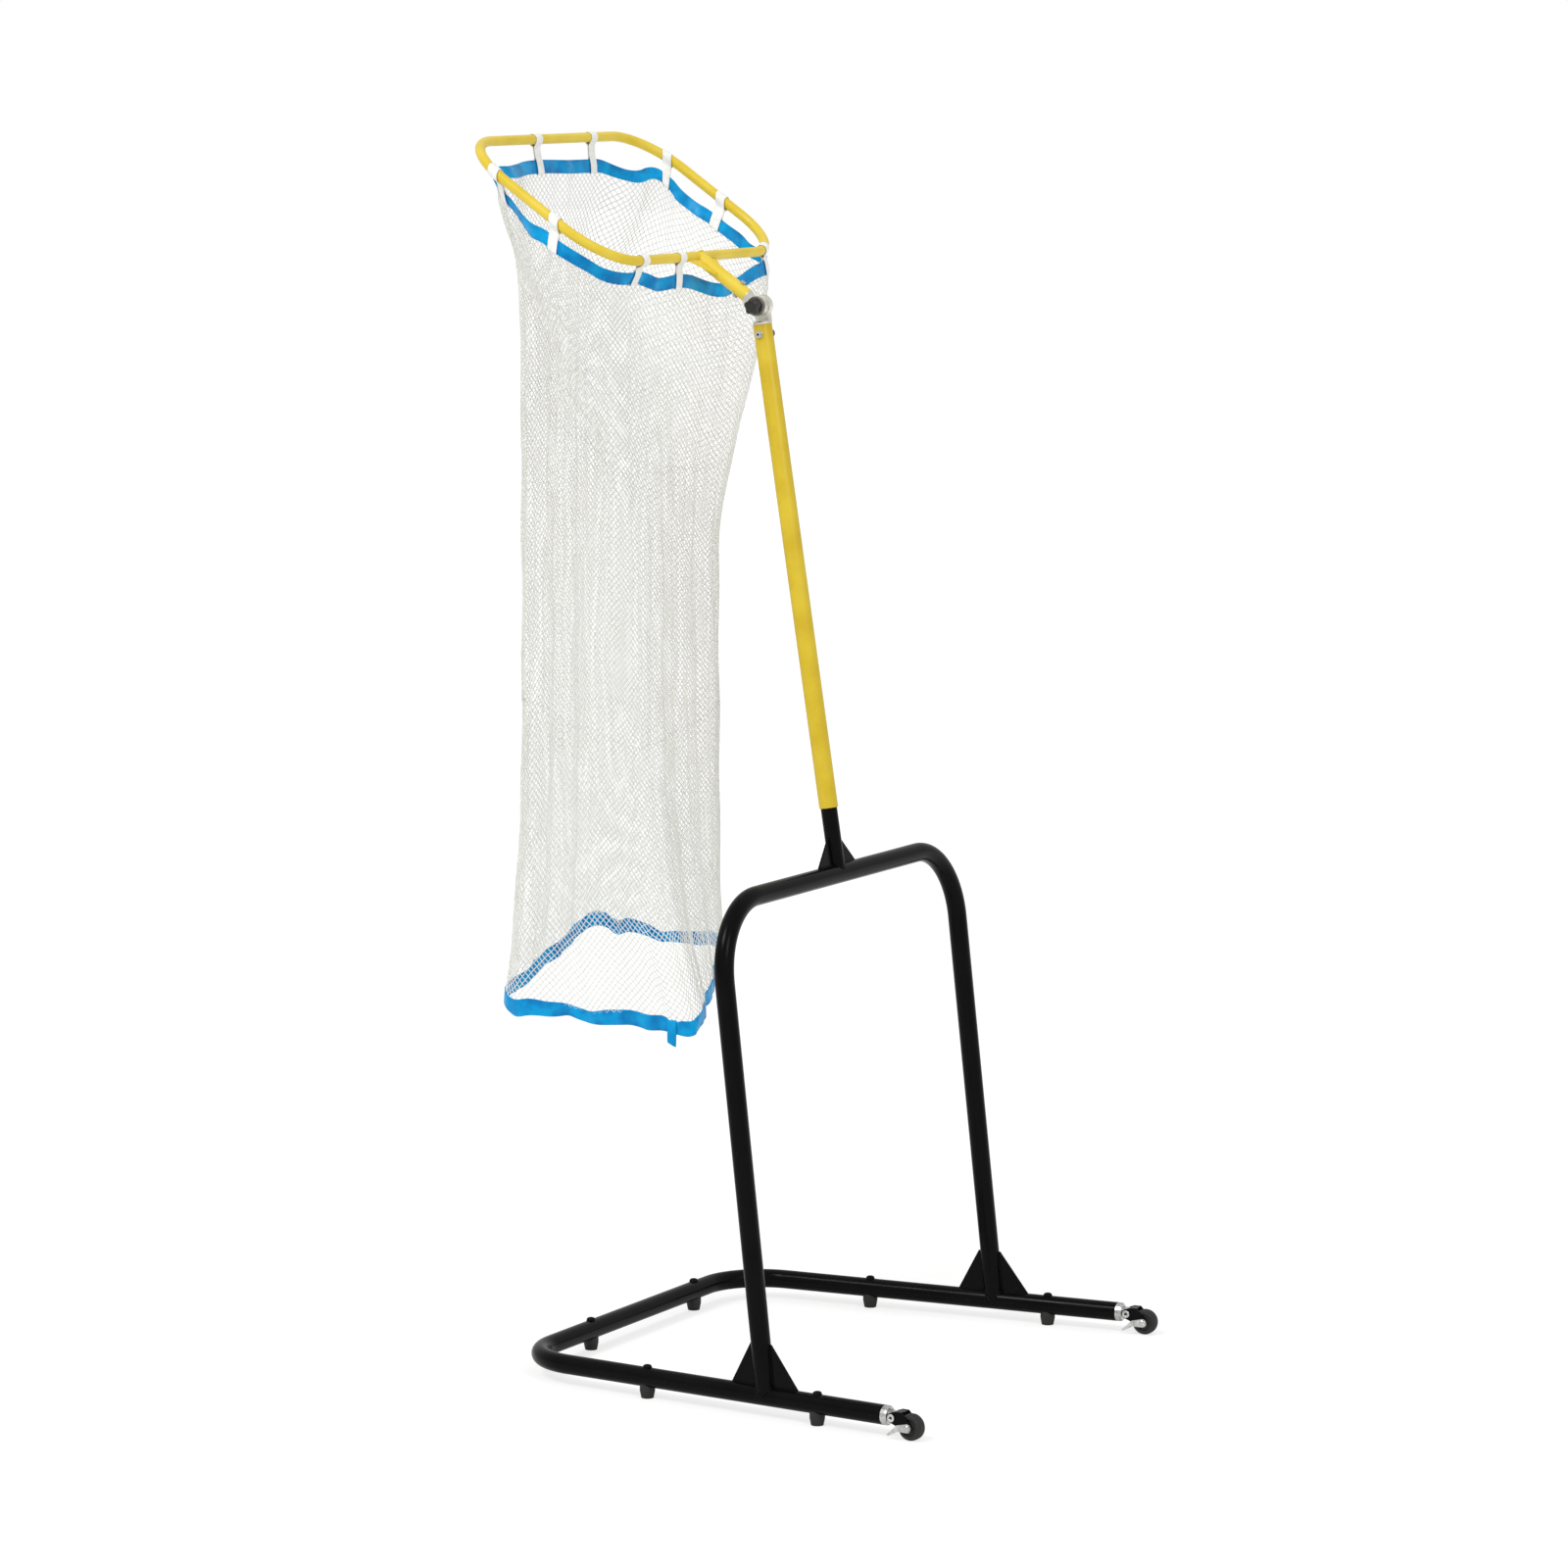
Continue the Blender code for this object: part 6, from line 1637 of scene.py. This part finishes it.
@dataclass
class Studio:
    """The plain pale floor, the soft light and the camera."""

    camera_place: tuple[float, float, float] = (6.55877659, -11.09080738, 2.96661808)
    azimuth: float = 29.0748
    elevation: float = 7.6276
    lens: float = 135.0
    sky: float = 0.70
    sun: float = 1.2
    fill: float = 0.42
    floor_half: float = 60.0
    floor_glow: float = 1.14
    floor_share: float = 0.58

    def build(self, shift: np.ndarray) -> None:
        """Builds the studio round the object.

        Args:
            shift: Where the object stands in the frame.
        """
        scene = bpy.context.scene
        scene.view_settings.view_transform = "Standard"
        camera = bpy.data.cameras.new("camera")
        camera.lens = self.lens
        camera.sensor_width = 36.0
        camera.clip_end = 200.0
        holder = bpy.data.objects.new("camera", camera)
        scene.collection.objects.link(holder)
        az, el = math.radians(self.azimuth), math.radians(self.elevation)
        look = Vector((-math.sin(az) * math.cos(el), math.cos(az) * math.cos(el), -math.sin(el)))
        holder.location = Vector(self.camera_place) + Vector(shift)
        holder.rotation_euler = look.to_track_quat("-Z", "Y").to_euler()
        scene.camera = holder
        self.light(scene)
        self.lay_floor(scene)

    def light(self, scene: bpy.types.Scene) -> None:
        """A pale sky and two broad, soft suns.

        Args:
            scene: The scene that takes them.
        """
        for name, strength, turn in (("key", self.sun, (38, 8, -32)),
                                     ("fill", self.sun * self.fill, (52, -12, 70))):
            lamp = bpy.data.lights.new(name, "SUN")
            lamp.energy = strength
            lamp.angle = math.radians(18)
            holder = bpy.data.objects.new(name, lamp)
            holder.rotation_euler = [math.radians(value) for value in turn]
            scene.collection.objects.link(holder)
        world = bpy.data.worlds.new("studio")
        scene.world = world
        world.use_nodes = True
        tree = world.node_tree
        tree.nodes.clear()
        rays = add_node(tree, "ShaderNodeLightPath").outputs
        seen = add_node(tree, "ShaderNodeMath", {"operation": "MAXIMUM"},
                        {0: rays["Is Camera Ray"], 1: rays["Is Transmission Ray"]}).outputs[0]
        soft, plain = (add_node(tree, "ShaderNodeBackground", {"Color": WHITE, "Strength": strength})
                       for strength in (self.sky, 1.0))
        mix = add_node(tree, "ShaderNodeMixShader", {}, {0: seen, 1: soft.outputs[0], 2: plain.outputs[0]})
        add_node(tree, "ShaderNodeOutputWorld", {}, {"Surface": mix.outputs[0]})

    def lay_floor(self, scene: bpy.types.Scene) -> None:
        """A broad pale floor that keeps the object's shadow.

        Args:
            scene: The scene that takes it.
        """
        mesh = bpy.data.meshes.new("studio_floor")
        corners = [(self.floor_half * a, self.floor_half * b, 0)
                   for a, b in ((-1, -1), (1, -1), (1, 1), (-1, 1))]
        mesh.from_pydata(corners, [], [(0, 1, 2, 3)])
        floor = bpy.data.objects.new("studio_floor", mesh)
        scene.collection.objects.link(floor)
        paint = bpy.data.materials.new("pale_paper")
        paint.use_nodes = True
        tree = paint.node_tree
        shader = tree.nodes["Principled BSDF"]
        shader.inputs["Roughness"].default_value = 0.9
        shader.inputs["Specular IOR Level"].default_value = 0.0
        shader.inputs["Base Color"].default_value = to_linear("#F6F6F5")
        path = add_node(tree, "ShaderNodeLightPath")
        lift = add_node(tree, "ShaderNodeEmission", {"Color": WHITE, "Strength": self.floor_glow})
        share = add_node(tree, "ShaderNodeMath", {"operation": "MULTIPLY", 1: self.floor_share},
                         {0: path.outputs["Is Camera Ray"]}).outputs[0]
        mix = add_node(tree, "ShaderNodeMixShader", {}, {0: share, 1: shader.outputs[0], 2: lift.outputs[0]})
        tree.links.new(mix.outputs[0], tree.nodes["Material Output"].inputs["Surface"])
        mesh.materials.append(paint)


def main() -> None:
    """Builds the practice net piece by piece, then its studio."""
    logging.basicConfig(level=logging.INFO, format="%(message)s")
    floor_frame = FloorFrame()
    floor_frame.build()
    for side in (-1, 1):
        Caster(floor_frame, side).build()
    mast = Mast(floor_frame)
    mast.build()
    hoop = Hoop(mast)
    hoop.build()
    hang = Hang(hoop)
    Straps(hang).build()
    net = NetTube(hang)
    Hems(hang, net).build()
    net.build()
    Studio().build(floor_frame.shift)


if __name__ == "__main__":
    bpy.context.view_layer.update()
    main()
